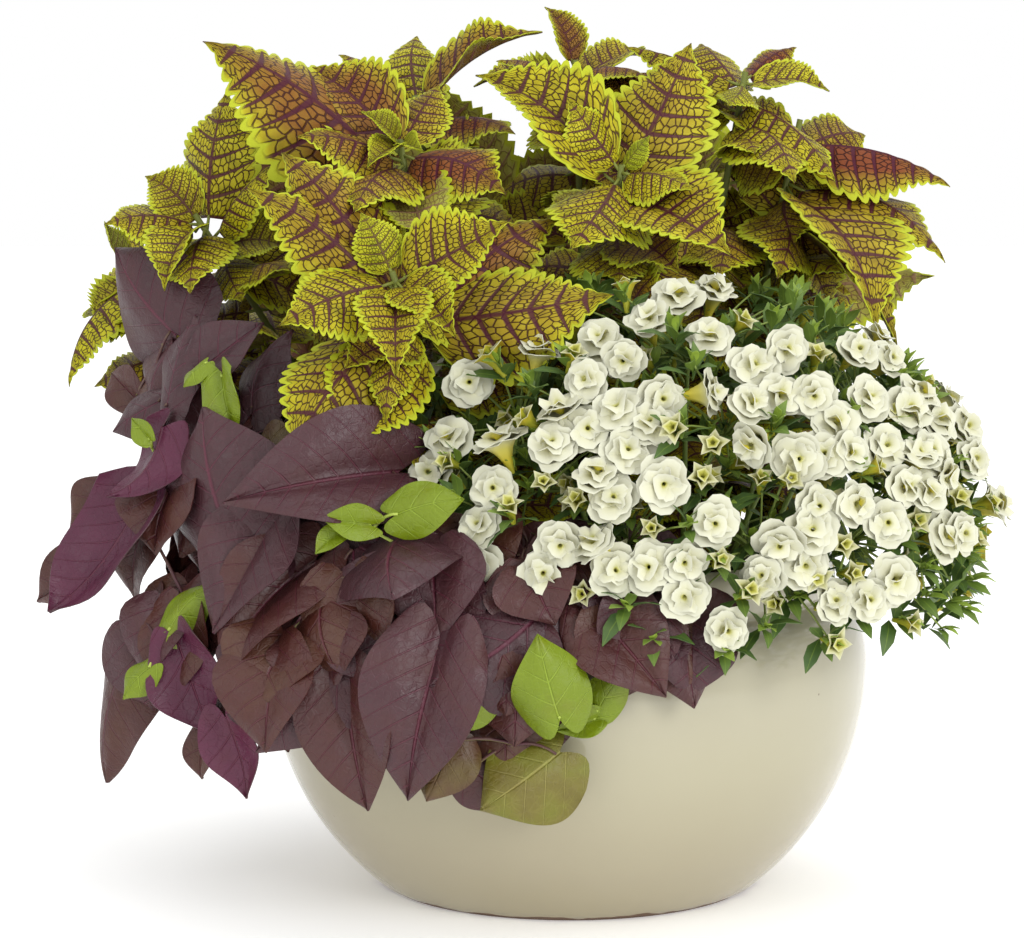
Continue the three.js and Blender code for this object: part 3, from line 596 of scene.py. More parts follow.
# root: where the stem leaves the soil. apex: the growing tip. faces: the way the rosette looks.
# leaves: tip x, y, z, width, how far below the apex it joins the stem, and its red flush.
COLEUS = [
    dict(root=(-62, 8), apex=(-107, -35, 482), faces=(-0.1, -0.7, 0.7), leaves=[
        (-231, -20, 547, 58, 25, 0.8), (-169, 5, 530, 49, 9, 0.8), (-83, 0, 518, 33, 3, 0.5),
        (-40, -70, 450, 49, 8, 0.9), (-168, -75, 486, 36, 12, 0.7), (-132, -110, 441, 42, 14, 0.6),
        (-89, -105, 422, 38, 22, -0.3), (-130, -47, 500, 13, 1, 0.3), (-92, -60, 476, 11, 1, 0.2),
        (-126, -70, 466, 15, 2, 0.3)]),
    dict(root=(8, 22), apex=(33, -40, 466), faces=(0, -0.7, 0.7), leaves=[
        (-58, -20, 525, 48, 12, 0.2), (78, -5, 545, 60, 14, 0.4), (0, -45, 508, 34, 3, 0.1),
        (75, -85, 453, 27, 3, 0.15), (0, -105, 418, 58, 6, 0.2), (98, -100, 414, 60, 16, 0.35),
        (50, -45, 485, 13, 1, 0.05), (31, -70, 394, 50, 40, 0.4)]),
    dict(root=(-48, -38), apex=(-109, -115, 402), faces=(-0.05, -0.85, 0.5), leaves=[
        (-128, -110, 438, 26, 2, 0.05), (-179, -75, 476, 52, 18, 0.6), (-199, -95, 454, 38, 30, 0.5),
        (-175, -150, 373, 46, 5, 0.2), (-39, -130, 434, 46, 6, 0.25), (-105, -175, 344, 36, 6, 0.3),
        (-70, -160, 366, 28, 5, 0.2), (-170, -165, 292, 62, 28, 0.35), (-144, -150, 293, 56, 46, 0.45),
        (-112, -160, 315, 24, 30, 0.3), (24, -135, 391, 62, 36, 0.45), (-6, -60, 435, 50, 50, 0.8)]),
    dict(root=(-96, 30), apex=(-241, 5, 434), faces=(-0.35, -0.65, 0.65), leaves=[
        (-296, -20, 430, 42, 6, 0.3), (-274, 15, 459, 32, 6, 0.3), (-221, 20, 516, 52, 12, 0.15),
        (-256, -50, 389, 29, 5, 0.1), (-239, -60, 388, 42, 10, 0.2), (-208, -40, 381, 32, 30, 0.2),
        (-182, -28, 472, 22, 18, 0.1), (-160, 34, 370, 48, 28, 0.3)]),
    dict(root=(-112, 46), apex=(-293, 60, 396), faces=(-0.75, -0.25, 0.6), leaves=[
        (-330, 30, 322, 33, 5, 0.05), (-318, 100, 362, 34, 6, 0.2), (-262, 92, 452, 40, 8, 0.2),
        (-306, 44, 428, 26, 3, 0.1), (-262, 34, 350, 36, 14, 0.3)]),
    dict(root=(62, 30), apex=(116, 30, 526), faces=(0.15, -0.5, 0.85), leaves=[
        (39, 30, 544, 24, 8, 0.2), (170, 20, 515, 30, 6, 0.15), (152, 60, 544, 22, 4, 0.9),
        (102, -15, 505, 22, 6, 0.05), (171, -25, 458, 38, 14, 0.2), (142, -50, 458, 43, 30, 0.25),
        (90, 92, 548, 34, 10, 0.3)]),
    dict(root=(92, 40), apex=(151, 20, 495), faces=(0.45, -0.55, 0.7), leaves=[
        (247, 0, 455, 39, 12, 0.95), (243, -15, 407, 60, 40, 0.5), (193, -75, 367, 72, 42, 0.45),
        (213, -20, 354, 38, 62, 0.6), (132, -60, 398, 40, 58, 0.5),
        (86, 62, 500, 44, 16, 0.6), (198, 52, 486, 46, 18, 0.5), (172, 12, 370, 46, 66, 0.4)]),
    dict(root=(-40, 52), apex=(-100, 45, 511), faces=(0, -0.3, 0.95), leaves=[
        (-18, 40, 555, 42, 8, 0.7), (-100, 110, 554, 34, 8, 0.1), (-34, 10, 488, 55, 18, 0.9),
        (-150, 70, 540, 40, 16, 0.5), (-168, 74, 470, 44, 30, 0.4)]),
    dict(root=(18, 66), apex=(6, 95, 535), faces=(0, -0.2, 0.95), leaves=[
        (-13, 110, 572, 22, 3, 0.8), (55, 60, 524, 30, 8, 0.8), (-62, 96, 520, 42, 14, 0.5),
        (58, 126, 540, 40, 12, 0.4), (2, 170, 520, 48, 16, 0.5), (-2, 62, 470, 46, 26, 0.5),
        (-46, 84, 536, 42, 12, 0.8), (84, 72, 524, 46, 16, 0.7)]),
]

# The shoots at the back. Their leaves stand in crossed pairs: pitch is how steeply a pair rises,
# share its length, drop how far below the apex it joins.
BACK_SHOOTS = [
    dict(root=(-72, 74), apex=(-150, 120, 440), faces=(-0.5, 0.6, 0.6), reach=112, turn=20),
    dict(root=(-18, 96), apex=(-48, 165, 432), faces=(-0.1, 0.75, 0.6), reach=108, turn=60),
    dict(root=(52, 88), apex=(74, 155, 452), faces=(0.15, 0.7, 0.65), reach=110, turn=5),
    dict(root=(100, 78), apex=(158, 118, 412), faces=(0.6, 0.55, 0.55), reach=96, turn=40),
    dict(root=(8, 124), apex=(18, 196, 340), faces=(0.05, 0.9, 0.4), reach=104, turn=75),
    dict(root=(-88, 100), apex=(-168, 176, 328), faces=(-0.6, 0.7, 0.4), reach=98, turn=30),
]
WHORL = [(28, 1.0, 34), (10, 0.86, 16), (46, 0.5, 4)]


def coleus_leaf(growth, base, tip, facing, width, flush, rng, coarse=False):
    """An ovate blade with a drawn-out tip, rounded teeth, and quilting between its side veins."""
    tip_way = tip - base
    start = base + tip_way * 0.1
    length = (tip - start).length
    natural = min(max(1.15 * width, 0.66 * length), 1.6 * width)
    fold = 0.7 * math.acos(min(width / natural, 1)) * rng.choice((1, -1, -1))
    turn = stand(start, tip, -facing if flush < 0 else facing)
    arch = rng.uniform(0.07, 0.13)
    ripple, phase = rng.uniform(0.02, 0.06), rng.uniform(0, 6.28)
    sway = rng.uniform(-0.07, 0.07)
    tooth = 0.07 * natural
    quilt = 0.014 * length

    def place(across, along):
        side = abs(across)
        half = natural / 2 * 2.35 * (along + 0.004) ** 0.35 * max(1 - along, 0) ** 1.25 + 0.3
        crest = abs(math.sin(math.pi * COLEUS_TEETH * along)) ** 0.7
        edge = max(side - 0.5, 0) / 0.5
        reach = half * side + tooth * crest * edge * min(1, 3 * (1 - along)) * min(1, 12 * along)
        x = math.copysign(reach, across)
        y = length * along + (0.75 + 0.6 * side) * reach * math.sqrt(along) * (1 - along)
        puff = abs(math.sin(math.pi * COLEUS_VEINS * along)) * math.sin(math.pi * min(side * 1.04, 1))
        z = math.tan(fold) * reach * math.cos(fold) + quilt * puff
        z += 4 * arch * length * along * (1 - along) - 0.04 * length * along ** 3
        z += ripple * natural * side * side * (1 - along ** 4) * math.sin(9 * along + phase + across)
        bent = x * math.cos(fold) + sway * length * math.sin(math.pi * along)
        return turn @ Vector((bent, min(y, length * 1.02), z)), (x, y)

    detail = (6, 2 * COLEUS_TEETH) if coarse else (10, 4 * COLEUS_TEETH)
    growth.sheet(*detail, place, 0, min(1, length / 50), abs(flush), rng.uniform(0, 40))


def crossed_pairs(apex, faces, reach, turn, rng):
    """The leaves of a back shoot, as the table rows of the shoots in front."""
    axis = Vector(faces).normalized()
    side = Vector((0, 0, 1)).cross(axis).normalized()
    rise = axis.cross(side)
    leaves = []
    for pair, (pitch, share, drop) in enumerate(WHORL):
        for half in (0, 180):
            angle, lean = math.radians(turn + 90 * pair + half), math.radians(pitch)
            out = side * math.cos(angle) + rise * math.sin(angle)
            way = out * math.cos(lean) + axis * math.sin(lean)
            tip = Vector(apex) + way * reach * share
            leaves.append((*tip, 0.52 * reach * share, drop, rng.uniform(0.1, 0.7)))
    return leaves


def make_coleus(number, plan, materials, rng):
    """A shoot: its leaves on short stalks, some lower leaves in the shade, and the stem, made round."""
    growth = Growth()
    apex, faces = Vector(plan["apex"]), Vector(plan["faces"])
    waist = Vector((*plan["root"], STEM_FOOT)).lerp(apex, 0.55) + Vector((0, 0, 12))
    line = stem_line(plan["root"], [waist, apex], 6)
    stalks = []
    for x, y, z, width, drop, flush in plan["leaves"]:
        base, tip = below_tip(line, drop + 2), Vector((x, y, z))
        coleus_leaf(growth, base, tip, faces, width, flush, rng, coarse=apex.y > 100)
        stalks.append((base, base.lerp(tip, 0.14)))
    length = (apex - line[0]).length
    for pair in range(int((length - 60) / 24)):
        for half in (0, 1):
            base = below_tip(line, 26 + 24 * pair)
            turn = math.pi * (half + 0.5 * pair) + rng.uniform(-0.5, 0.5)
            out = Vector((math.cos(turn), math.sin(turn) * 0.7 + 0.2, rng.uniform(-0.5, 0.2)))
            tip = base + out.normalized() * min(46 + 16 * pair, rng.uniform(60, 92))
            up = Vector((rng.uniform(-0.3, 0.3), -0.75, 0.8))
            coleus_leaf(growth, base, tip, up, rng.uniform(38, 54), rng.uniform(0.2, 0.7), rng, True)
            stalks.append((base, base.lerp(tip, 0.14)))
    growth.thicken(0.5, {0: 1})
    growth.rod(line, (COLEUS_STEM, 2.0), 8, 2, 0.4)
    for base, end in stalks:
        growth.rod([base, base.lerp(end, 0.5), end], (1.3, 0.9), 6, 2, 0.7)
    name = f"coleus_shoot_{number:02d}"
    growth.finish("leafy_" + name, materials, name)


# ---- Sweet potato vine ----

VINE_STEM = 2.4
BROWN, BRONZE, OLIVE, LIME = 0.38, 0.55, 0.75, 0.95

# path: from the soil over the rim. leaves: the notch where the stalk meets the blade x, y, z, the
# tip x, y, z, the width, the tone from dark purple 0 to lime 1, and 1 where the underside shows.
VINES = [
    dict(path=[(-96, -18), (-150, -30, 262), (-212, -50, 306), (-262, -44, 338)], leaves=[
        (-251, -40, 359, -294, -10, 413, 66, 0.15, 0), (-226, -90, 343, -191, -90, 371, 34, 0.1, 0),
        (-251, -95, 316, -237, -70, 375, 25, 0.1, 0), (-198, -90, 315, -175, -70, 366, 26, 0.1, 0),
        (-277, -20, 316, -297, 0, 332, 24, BROWN, 0), (-256, -70, 320, -289, -60, 300, 29, 0.1, 0),
        (-214, -110, 339, -205, -125, 301, 19, LIME, 0), (-224, -105, 346, -238, -110, 332, 10, LIME, 0)]),
    dict(path=[(-104, -50), (-158, -84, 246), (-212, -104, 262), (-270, -88, 256)], leaves=[
        (-250, -110, 305, -282, -115, 262, 34, 0.1, 1), (-209, -150, 245, -227, -130, 321, 76, 0.12, 0),
        (-291, -50, 261, -320, -45, 233, 25, BROWN, 0), (-258, -115, 299, -270, -110, 312, 11, LIME, 0),
        (-172, -110, 305, -166, -124, 263, 37, BRONZE, 0), (-293, -60, 227, -341, -50, 191, 36, BROWN, 0)]),
    dict(path=[(-86, -76), (-150, -122, 232), (-205, -136, 216), (-262, -128, 178)], leaves=[
        (-266, -100, 257, -318, -110, 189, 54, 0.1, 1), (-183, -150, 254, -217, -175, 191, 52, 0.15, 0),
        (-244, -150, 187, -214, -150, 216, 20, LIME, 0), (-237, -150, 180, -215, -165, 125, 40, 0.1, 1),
        (-255, -150, 165, -273, -150, 145, 19, LIME, 0), (-265, -120, 178, -260, -115, 130, 48, 0.2, 0),
        (-277, -100, 163, -295, -90, 80, 38, 0.35, 0)]),
    dict(path=[(-66, -98), (-118, -152, 232), (-160, -176, 200), (-200, -172, 140)], leaves=[
        (-155, -155, 230, -210, -185, 165, 40, 0.3, 0), (-117, -190, 184, -190, -195, 122, 46, 0.18, 0),
        (-192, -175, 176, -171, -192, 120, 40, BROWN, 0), (-207, -170, 138, -194, -165, 88, 24, 0.2, 1),
        (-221, -150, 125, -226, -150, 95, 18, BROWN, 0), (-135, -194, 163, -123, -202, 86, 47, 0.3, 0)]),
    dict(path=[(-38, -108), (-68, -158, 236), (-96, -186, 214), (-92, -204, 150)], leaves=[
        (-99, -190, 193, -150, -168, 220, 66, 0.15, 0), (-103, -175, 248, -107, -225, 222, 66, 0.12, 0),
        (-78, -207, 188, -99, -217, 96, 56, 0.2, 0), (-105, -190, 262, -65, -200, 273, 25, LIME, 0),
        (-119, -190, 256, -148, -195, 261, 14, LIME, 0), (-136, -190, 252, -152, -195, 240, 10, LIME, 0),
        (-104, -140, 283, -207, -175, 270, 48, 0.18, 0)]),
    dict(path=[(-8, -116), (-24, -166, 234), (-36, -198, 205), (-34, -208, 128)], leaves=[
        (-20, -205, 206, -84, -225, 167, 74, 0.1, 0), (-8, -210, 124, -55, -218, 91, 52, OLIVE, 0),
        (-61, -204, 113, -34, -204, 88, 34, 0.25, 0), (-72, -210, 131, -87, -217, 96, 34, BRONZE, 0),
        (-8, -229, 146, -21, -236, 197, 38, LIME, 0), (-49, -215, 165, -84, -225, 144, 24, LIME, 0),
        (14, -208, 147, 32, -212, 173, 20, LIME, 0), (14, -207, 143, -10, -216, 138, 12, LIME, 0)]),
    dict(path=[(16, -116), (24, -168, 230), (42, -196, 208), (66, -202, 192)], leaves=[
        (12, -200, 207, 54, -222, 160, 50, 0.3, 0), (69, -197, 195, 69, -207, 156, 44, 0.15, 0)]),
    dict(path=[(-112, 10), (-172, 26, 250), (-222, 34, 246), (-256, 40, 176)], leaves=[
        (-232, 20, 262, -290, 2, 228, 62, 0.1, 0), (-226, 62, 258, -262, 108, 232, 64, 0.2, 0),
        (-256, 16, 196, -292, -6, 142, 58, 0.3, 0), (-246, 66, 190, -270, 96, 134, 60, 0.15, 0),
        (-190, 52, 268, -196, 96, 296, 54, 0.1, 0)]),
    dict(path=[(-84, 62), (-148, 100, 250), (-186, 118, 226), (-202, 132, 146)], leaves=[
        (-192, 104, 252, -238, 142, 226, 62, 0.15, 0), (-150, 142, 238, -148, 200, 222, 60, 0.25, 0),
        (-214, 122, 178, -254, 140, 128, 56, 0.1, 0), (-176, 158, 172, -168, 194, 118, 58, 0.3, 0),
        (-126, 126, 262, -84, 172, 272, 52, 0.2, 0)]),
    dict(path=[(-44, 104), (-62, 156, 240), (-70, 184, 214), (-64, 200, 132)], leaves=[
        (-84, 186, 228, -112, 224, 186, 60, 0.15, 0), (-38, 192, 220, -8, 228, 190, 58, 0.1, 0),
        (-84, 202, 158, -104, 222, 100, 56, 0.3, 0), (-40, 206, 148, -22, 222, 92, 54, 0.2, 0)]),
]


def outward(place):
    """Which way a leaf at this place turns: out from the bowl and up, those in front to the front."""
    out = Vector((place.x, place.y, 0)).normalized()
    out.z = 0.45
    if place.y < 0:
        out.y -= 0.7
    return out


def vine_leaf(growth, base, tip, width, tone, turned, rng, coarse=False):
    """A heart-shaped blade from its notch to its drawn-out tip, gently waved."""
    length = (tip - base).length
    natural = min(max(1.3 * width, 0.85 * length), 1.75 * width)
    fold = 0.5 * math.acos(min(width / natural, 1)) * rng.choice((1, -1))
    facing = outward(base.lerp(tip, 0.5)) * (-1 if turned else 1)
    turn = stand(base, tip, facing)
    arch = rng.uniform(0.03, 0.13)
    ripple, phase = rng.uniform(0.045, 0.1), rng.uniform(0, 6.28)
    lobe, sway = rng.uniform(0.17, 0.25), rng.uniform(-0.08, 0.08)

    def place(across, along):
        side = abs(across)
        swell = max(1 - along ** 1.8, 0) ** 0.9 * (0.83 + along) * (1 - 0.55 * along ** 3)
        x = math.copysign(natural / 2 * swell * side + 0.2 * side, across)
        back = lobe * length * math.sin(math.pi * side ** 0.9) * (1 - along) ** 3
        y = length * along - back
        z = math.sin(fold) * abs(x) + 4 * arch * length * along * (1 - along)
        z += ripple * length * side * side * (1 - along ** 4) * math.sin(6 * along + phase + 1.5 * across)
        z -= 0.05 * natural * side * side + 0.05 * length * along ** 4
        z -= 0.03 * length * math.exp(-30 * side * side)
        bent = x * math.cos(fold) + sway * length * math.sin(math.pi * along)
        return clear_of_bowl(turn @ Vector((bent, y, z))), (x, y)

    growth.sheet(*((8, 8) if coarse else (14, 16)), place, 0, tone, 0.0, rng.uniform(0, 40))


def bowed(start, end, lift, steps=5):
    """A stalk's line: it leaves upwards and comes down to its end."""
    middle = start.lerp(end, 0.5) + Vector((0, 0, lift))
    return [start.lerp(middle, t).lerp(middle.lerp(end, t), t) for t in (i / steps for i in range(steps + 1))]


def nearest(line, place, start):
    """The point of a line that is nearest to a place, past a share of the line."""
    return min(line[int(start * len(line)):], key=lambda point: (point - place).length)


def make_vine(number, plan, materials, rng):
    """A runner with its leaves, each on its own stalk, and shaded leaves close to the bowl."""
    growth = Growth()
    line = stem_line(plan["path"][0], plan["path"][1:], 8)
    stalks = []
    young = [Vector(leaf[:3]) for leaf in plan["leaves"] if leaf[7] == LIME]
    bud = sum(young, Vector()) / max(len(young), 1) + Vector((0, 12, -6))
    if young:
        stalks.append((nearest(line, bud, 0.3), bud, LIME))
    for bx, by, bz, tx, ty, tz, width, tone, turned in plan["leaves"]:
        base, tip = Vector((bx, by, bz)), Vector((tx, ty, tz))
        vine_leaf(growth, base, tip, width, tone, turned, rng)
        start = bud if tone == LIME else nearest(line, base, 0.3)
        stalks.append((start, base.lerp(tip, 0.04), tone))
    for i in range(10, len(line) - 1):
        out = Vector((line[i].x, line[i].y, 0)).normalized()
        swing = Matrix.Rotation(rng.uniform(-1.2, 1.2), 3, "Z") @ out
        base = line[i] + swing * rng.uniform(6, 18) - out * 14 + Vector((0, 0, rng.uniform(-8, 18)))
        tip = base + swing * rng.uniform(8, 28) + Vector((0, 0, -rng.uniform(24, 56)))
        tone = rng.choice((0.1, 0.2, 0.3, 0.35, 0.42))
        vine_leaf(growth, base, tip, rng.uniform(40, 58), tone, 0, rng, coarse=True)
        stalks.append((line[i], base, tone))
    growth.thicken(0.55, {0: 1})
    growth.rod([clear_of_bowl(point, 4) for point in line], (VINE_STEM, 1.3), 8, 2, 0.0)
    for start, end, tone in stalks:
        growth.rod(bowed(start, end, 6), (1.2, 0.9), 6, 2, 0.85 if tone == LIME else 0.0)
    name = f"vine_runner_{number:02d}"
    growth.finish("leafy_" + name, materials, name)


# ---- Calibrachoa ----

SPRAY_STEM = 2.2
MOUND_CENTRE = Vector((72, -70, 232))
MOUND_RADII = Vector((200, 150, 165))
BRANCH_REACH = 0.72  # where the branch tips lie, as a share of the mound's radii
BRANCH_LIFT = 34  # how far the branches arch over the rim
SPRIGS = 340  # shoot tips spread over the whole mound, before some are left out
GOLDEN_ANGLE = 2.39996
SEPALS, SEPAL_TURN = 5, 1.257
BLOOM_DEPTH, YOUNG_DEPTH = 24, 20

# The blooms' directions from the middle of the mound, in degrees: round from the front, and up.
BLOOMS = [
    (-92, 41), (-95, 61), (-67, 51), (-60, 39), (-91, 35), (-46, 50), (-43, 57), (-29, 54), (-25, 41),
    (-18, 47), (-16, 62), (-7, 71), (25, 78), (5, 55), (4, 39), (-7, 37), (-37, 32), (-41, 27),
    (-55, 26), (-28, 26), (-22, 30), (-30, 35), (-16, 34), (-9, 31), (-13, 25), (-28, 18), (-39, 16),
    (-57, 18), (-40, 8), (-40, 0), (-22, 15), (-18, 20), (-15, 15), (-24, 5), (-18, 6), (-20, -5),
    (-14, 0), (-27, -1), (-6, 18), (-8, 9), (-8, 1), (-2, 2), (3, 10), (1, 20), (3, 27), (10, 26),
    (19, 38), (12, 36), (25, 49), (15, 46), (35, 49), (26, 37), (52, 49), (64, 46), (30, 31),
    (41, 36), (17, 19), (19, 23), (25, 24), (30, 24), (40, 25), (52, 33), (60, 36), (52, 23),
    (63, 30), (76, 27), (71, 20), (47, 23), (46, 15), (41, 16), (29, 13), (36, 9), (22, 13),
    (14, 5), (20, 8), (26, 5), (11, -1), (19, 1), (44, 9), (51, 5), (56, 5), (58, 13), (55, 17),
    (36, -3), (25, -7), (21, -2), (28, -1), (31, -7), (13, -7), (5, -12), (-2, -5),
    # The far side.
    (92, 8), (96, 32), (104, -4), (108, 20), (112, 48), (118, 6), (124, 30), (130, -4), (134, 18),
    (140, 42), (148, 8), (152, 28), (85, 52), (120, 62), (160, 50), (-160, 64), (-120, 56)]

# The branches: where each leaves the soil, x and y, and the direction of its tip.
BRANCHES = [
    (34, -96, -46, 4), (52, -104, -16, 4), (72, -104, 16, 2), (94, -96, 42, 4), (116, -76, 74, 10),
    (26, -74, -66, 38), (46, -80, -26, 36), (70, -84, 10, 38), (94, -72, 44, 38), (116, -50, 78, 40),
    (72, -58, 0, 72), (124, -24, 112, 16), (112, 0, 150, 30)]

PETAL, LEAFLET, TWIG, OUTSIDE = range(4)  # the slots of a spray's materials


def direction(around, up):
    around, up = math.radians(around), math.radians(up)
    return Vector((math.sin(around) * math.cos(up), -math.cos(around) * math.cos(up), math.sin(up)))


def on_mound(way, reach):
    """The point of the mound in a direction, at a share of its radii."""
    return MOUND_CENTRE + way * MOUND_RADII * reach


def mound_out(place):
    """Which way the mound's surface faces at a place."""
    away = place - MOUND_CENTRE
    return Vector([a / (r * r) for a, r in zip(away, MOUND_RADII)]).normalized()


def whorl(growth, turn, radius, rise, depth, detail, tone, rng, lobes=5, notch=0.2, crumple=0.1):
    """A ring of joined petals: a narrow throat that flares to a ruffled, lobed rim."""
    spin, phase, skew = rng.uniform(0, 6.28), rng.uniform(0, 6.28), rng.uniform(0, 6.28)

    def place(across, along):
        angle = -math.pi * across
        lobe = 1 - notch + notch * abs(math.cos(lobes * angle / 2)) ** 0.45
        flare = 0.35 * along + 0.65 * along ** 2.6
        reach = 1.2 + (radius * lobe * (1 + 0.08 * math.sin(2 * angle + skew)) - 1.2) * flare
        height = rise - depth * (1 - along) ** 1.5 - 0.12 * radius * along ** 6
        height += crumple * radius * along ** 2 * math.sin((lobes - 2) * angle + phase)
        height += 0.4 * crumple * radius * along ** 3 * math.sin((2 * lobes + 1) * angle + skew)
        x, y = reach * math.cos(angle + spin), reach * math.sin(angle + spin)
        return turn @ Vector((x, y, height)), (x, y)

    growth.sheet(*detail, place, PETAL, tone)


def lean(turn, degrees, rng):
    """The same place, tipped over a little to a side taken at random."""
    side = rng.uniform(0, 6.28)
    axis = Vector((math.cos(side), math.sin(side), 0))
    return turn @ Matrix.Rotation(math.radians(degrees), 4, axis)


def mouth(place, way):
    """The place of a bloom's mouth, turned to look along way."""
    return Matrix.Translation(place) @ way.to_track_quat("Z", "Y").to_matrix().to_4x4()


def bloom(growth, place, way, size, rng):
    """A double bloom: a ruffled trumpet with smaller crumpled ones packed into its mouth."""
    turn = mouth(place, way)
    whorl(growth, turn, 17.5 * size, 0, BLOOM_DEPTH, (20, 6), 0.0, rng, notch=0.16, crumple=0.08)
    whorl(growth, lean(turn, 7, rng), 14.5 * size, 1.8, 7, (20, 3), 0.0, rng, notch=0.16, crumple=0.12)
    whorl(growth, lean(turn, 14, rng), 11 * size, 3.4, 6, (15, 3), 0.0, rng, notch=0.3, crumple=0.3)
    whorl(growth, lean(turn, 30, rng), 8 * size, 4.4, 3, (12, 3), 0.0, rng, 4, 0.5, 0.5)


def young_bloom(growth, place, way, size, rng):
    """A half-open yellow bloom, star-shaped from the front."""
    turn = mouth(place, way)
    whorl(growth, turn, 10 * size, 0, YOUNG_DEPTH, (10, 4), 0.55, rng, notch=0.45)
    whorl(growth, lean(turn, 12, rng), 5.5 * size, 1.5, 5, (5, 2), 0.7, rng, crumple=0.4)


def leaflet(growth, base, way, length, width, tone, rng):
    """A narrow spatulate leaf."""
    up = Vector((rng.uniform(-0.4, 0.4), rng.uniform(-0.6, 0.2), 1))
    turn = stand(base, base + way, up)
    arch = rng.uniform(0.06, 0.2)

    def place(across, along):
        half = width / 2 * max(math.sin(math.pi * along ** 0.85), 0) ** 0.6 + 0.25
        x, y = across * half, along * length
        return turn @ Vector((x, y, 4 * arch * length * along * (1 - along) + 0.12 * x * x / half)), (x, y)

    growth.sheet(2, 3, place, LEAFLET, tone, 0, rng.uniform(0, 40))


def sprig(growth, place, way, count, rng):
    """A shoot tip: leaves round a short stem, the youngest small, pale and upright."""
    u = way.orthogonal().normalized()
    v = way.cross(u)
    for i in range(count):
        share = i / (count - 1)
        turn = 2.4 * i + rng.uniform(-0.3, 0.3)
        out = (u * math.cos(turn) + v * math.sin(turn)) * (1 - 0.65 * share) + way * (0.35 + share)
        base = place + way * (14 * share - 8)
        size = rng.uniform(0.85, 1.15)
        leaflet(growth, base, out.normalized(), (25 - 13 * share) * size, (9 - 4.5 * share) * size,
                0.7 * share * share, rng)


def make_spray(number, plan, blooms, sprigs, materials, rng):
    """A branch with its share of the mound's blooms and shoot tips."""
    x, y, around, up = plan
    growth = Growth()
    tip = on_mound(direction(around, up), BRANCH_REACH)
    arch = Vector((x, y, STEM_FOOT)).lerp(tip, 0.5) + Vector((0, 0, BRANCH_LIFT))
    line = stem_line((x, y), [arch, tip], 6)
    twigs = []
    for place in blooms:
        stray = 1.0 if rng.random() < 0.26 else 0.2
        way = (mound_out(place) + Vector((0, -0.3 if place.y < -60 else 0, 0.1)) + Vector(
            [rng.uniform(-stray, stray) for _ in range(3)])).normalized()
        young = rng.random() < (0.5 if place.z < RIM_HEIGHT + 8 else 0.16)
        shape, depth = (young_bloom, YOUNG_DEPTH) if young else (bloom, BLOOM_DEPTH)
        shape(growth, place, way, rng.uniform(0.8, 1.02), rng)
        neck = place - way * (depth - 1)
        twigs.append((nearest(line, place, 0.35), neck, (0.8, 0.9)))
        side = way.orthogonal().normalized()
        for i in range(SEPALS):
            out = Matrix.Rotation(SEPAL_TURN * i, 3, way) @ side
            leaflet(growth, neck, (way + out * 0.45).normalized(), 10, 2.6, 0.45, rng)
    for place in sprigs:
        way = (mound_out(place) + Vector((0, 0, 0.35))).normalized()
        sprig(growth, place, way, 8, rng)
        twigs.append((nearest(line, place, 0.35), place + way * 6, (0.9, 0.6)))
        if rng.random() < 0.3:
            side = Vector([rng.uniform(-1, 1) for _ in range(3)])
            bud_way = (way + side * 0.5).normalized()
            young_bloom(growth, place + bud_way * 16, bud_way, rng.uniform(0.7, 1.1), rng)
            twigs.append((place, place + bud_way * 4, (0.6, 0.5)))
    growth.thicken(0.3, {PETAL: OUTSIDE})
    growth.rod(line, (SPRAY_STEM, 1.2), 8, TWIG, 0.2)
    for start, end, radii in twigs:
        growth.rod(bowed(start, end, 6, 4), radii, 5, TWIG, 0.5)
    name = f"calibrachoa_spray_{number:02d}"
    growth.finish("flowering_" + name, materials, name)


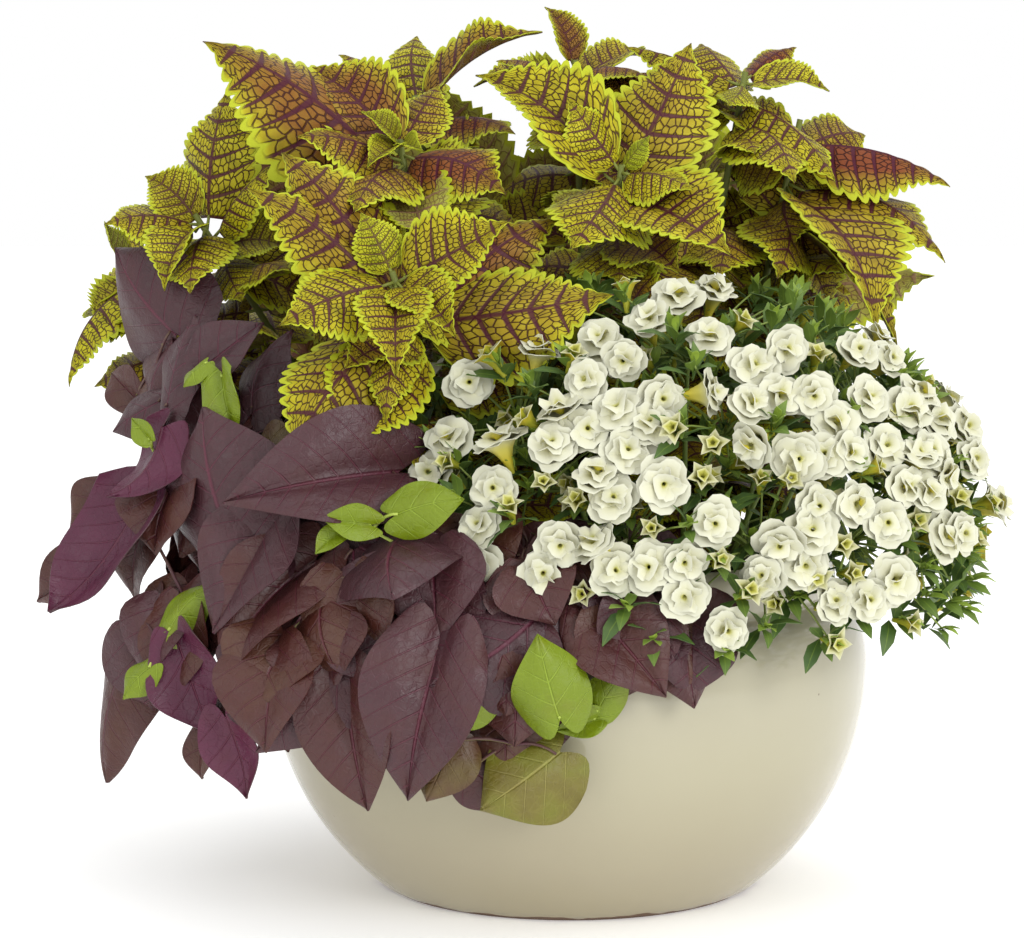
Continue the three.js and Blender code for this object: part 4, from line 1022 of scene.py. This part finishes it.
def make_mound(materials, rng):
    """Shares the blooms and shoot tips of the whole mound out among its branches."""
    tips = [on_mound(direction(around, up), BRANCH_REACH) for _, _, around, up in BRANCHES]
    blooms = [[] for _ in BRANCHES]
    sprigs = [[] for _ in BRANCHES]

    def share(place, lists):
        nearest_tip = min(range(len(tips)), key=lambda i: (tips[i] - place).length)
        lists[nearest_tip].append(place)

    for around, up in BLOOMS:
        share(on_mound(direction(around, up), rng.uniform(0.98, 1.01)), blooms)
    heads = [place for places in blooms for place in places]
    for i in range(SPRIGS):
        height = -0.32 + 1.28 * (i + 0.5) / SPRIGS
        turn = i * GOLDEN_ANGLE
        flat = math.sqrt(max(1 - height * height, 0))
        way = Vector((flat * math.cos(turn), flat * math.sin(turn), height))
        place = on_mound(way, rng.uniform(0.95, 1.0) - 0.09 * max(way.x, 0))
        if i % 4 == 0 or min((place - head).length for head in heads) < 17:
            place = on_mound(way, rng.uniform(0.7, 0.86))
        if place.z < RIM_HEIGHT and math.hypot(place.x, place.y) < bowl_radius(max(place.z, 0)) + 14:
            continue
        if place.y > 40 and place.x < 0:
            continue
        share(place, sprigs)
    for number, plan in enumerate(BRANCHES):
        make_spray(number + 1, plan, blooms[number], sprigs[number], materials, rng)


# ---- Assembly ----

def make_plants(rng):
    coleus = [coleus_material(False), coleus_material(True),
              herb_material("coleus_stem", "#465020", "#7b8233", 0.6)]
    for number, plan in enumerate(COLEUS, 1):
        make_coleus(number, plan, coleus, rng)
    for number, plan in enumerate(BACK_SHOOTS, len(COLEUS) + 1):
        leaves = crossed_pairs(plan["apex"], plan["faces"], plan["reach"], plan["turn"], rng)
        make_coleus(number, dict(plan, leaves=leaves), coleus, rng)
    vine = [vine_material(False), vine_material(True),
            herb_material("vine_stem", "#4c1a33", "#a6b84e", 0.45)]
    for number, plan in enumerate(VINES, 1):
        make_vine(number, plan, vine, rng)
    make_mound([petal_material(False), herb_material("calibrachoa_leaf", "#3f5a2a", "#93ab3c", 0.5),
                herb_material("calibrachoa_stem", "#62782f", "#93a452", 0.55),
                petal_material(True)], rng)


make_camera()
make_studio()
make_bowl(glaze_material())
make_soil(earth_material(), random.Random(3))
make_plants(random.Random(11))
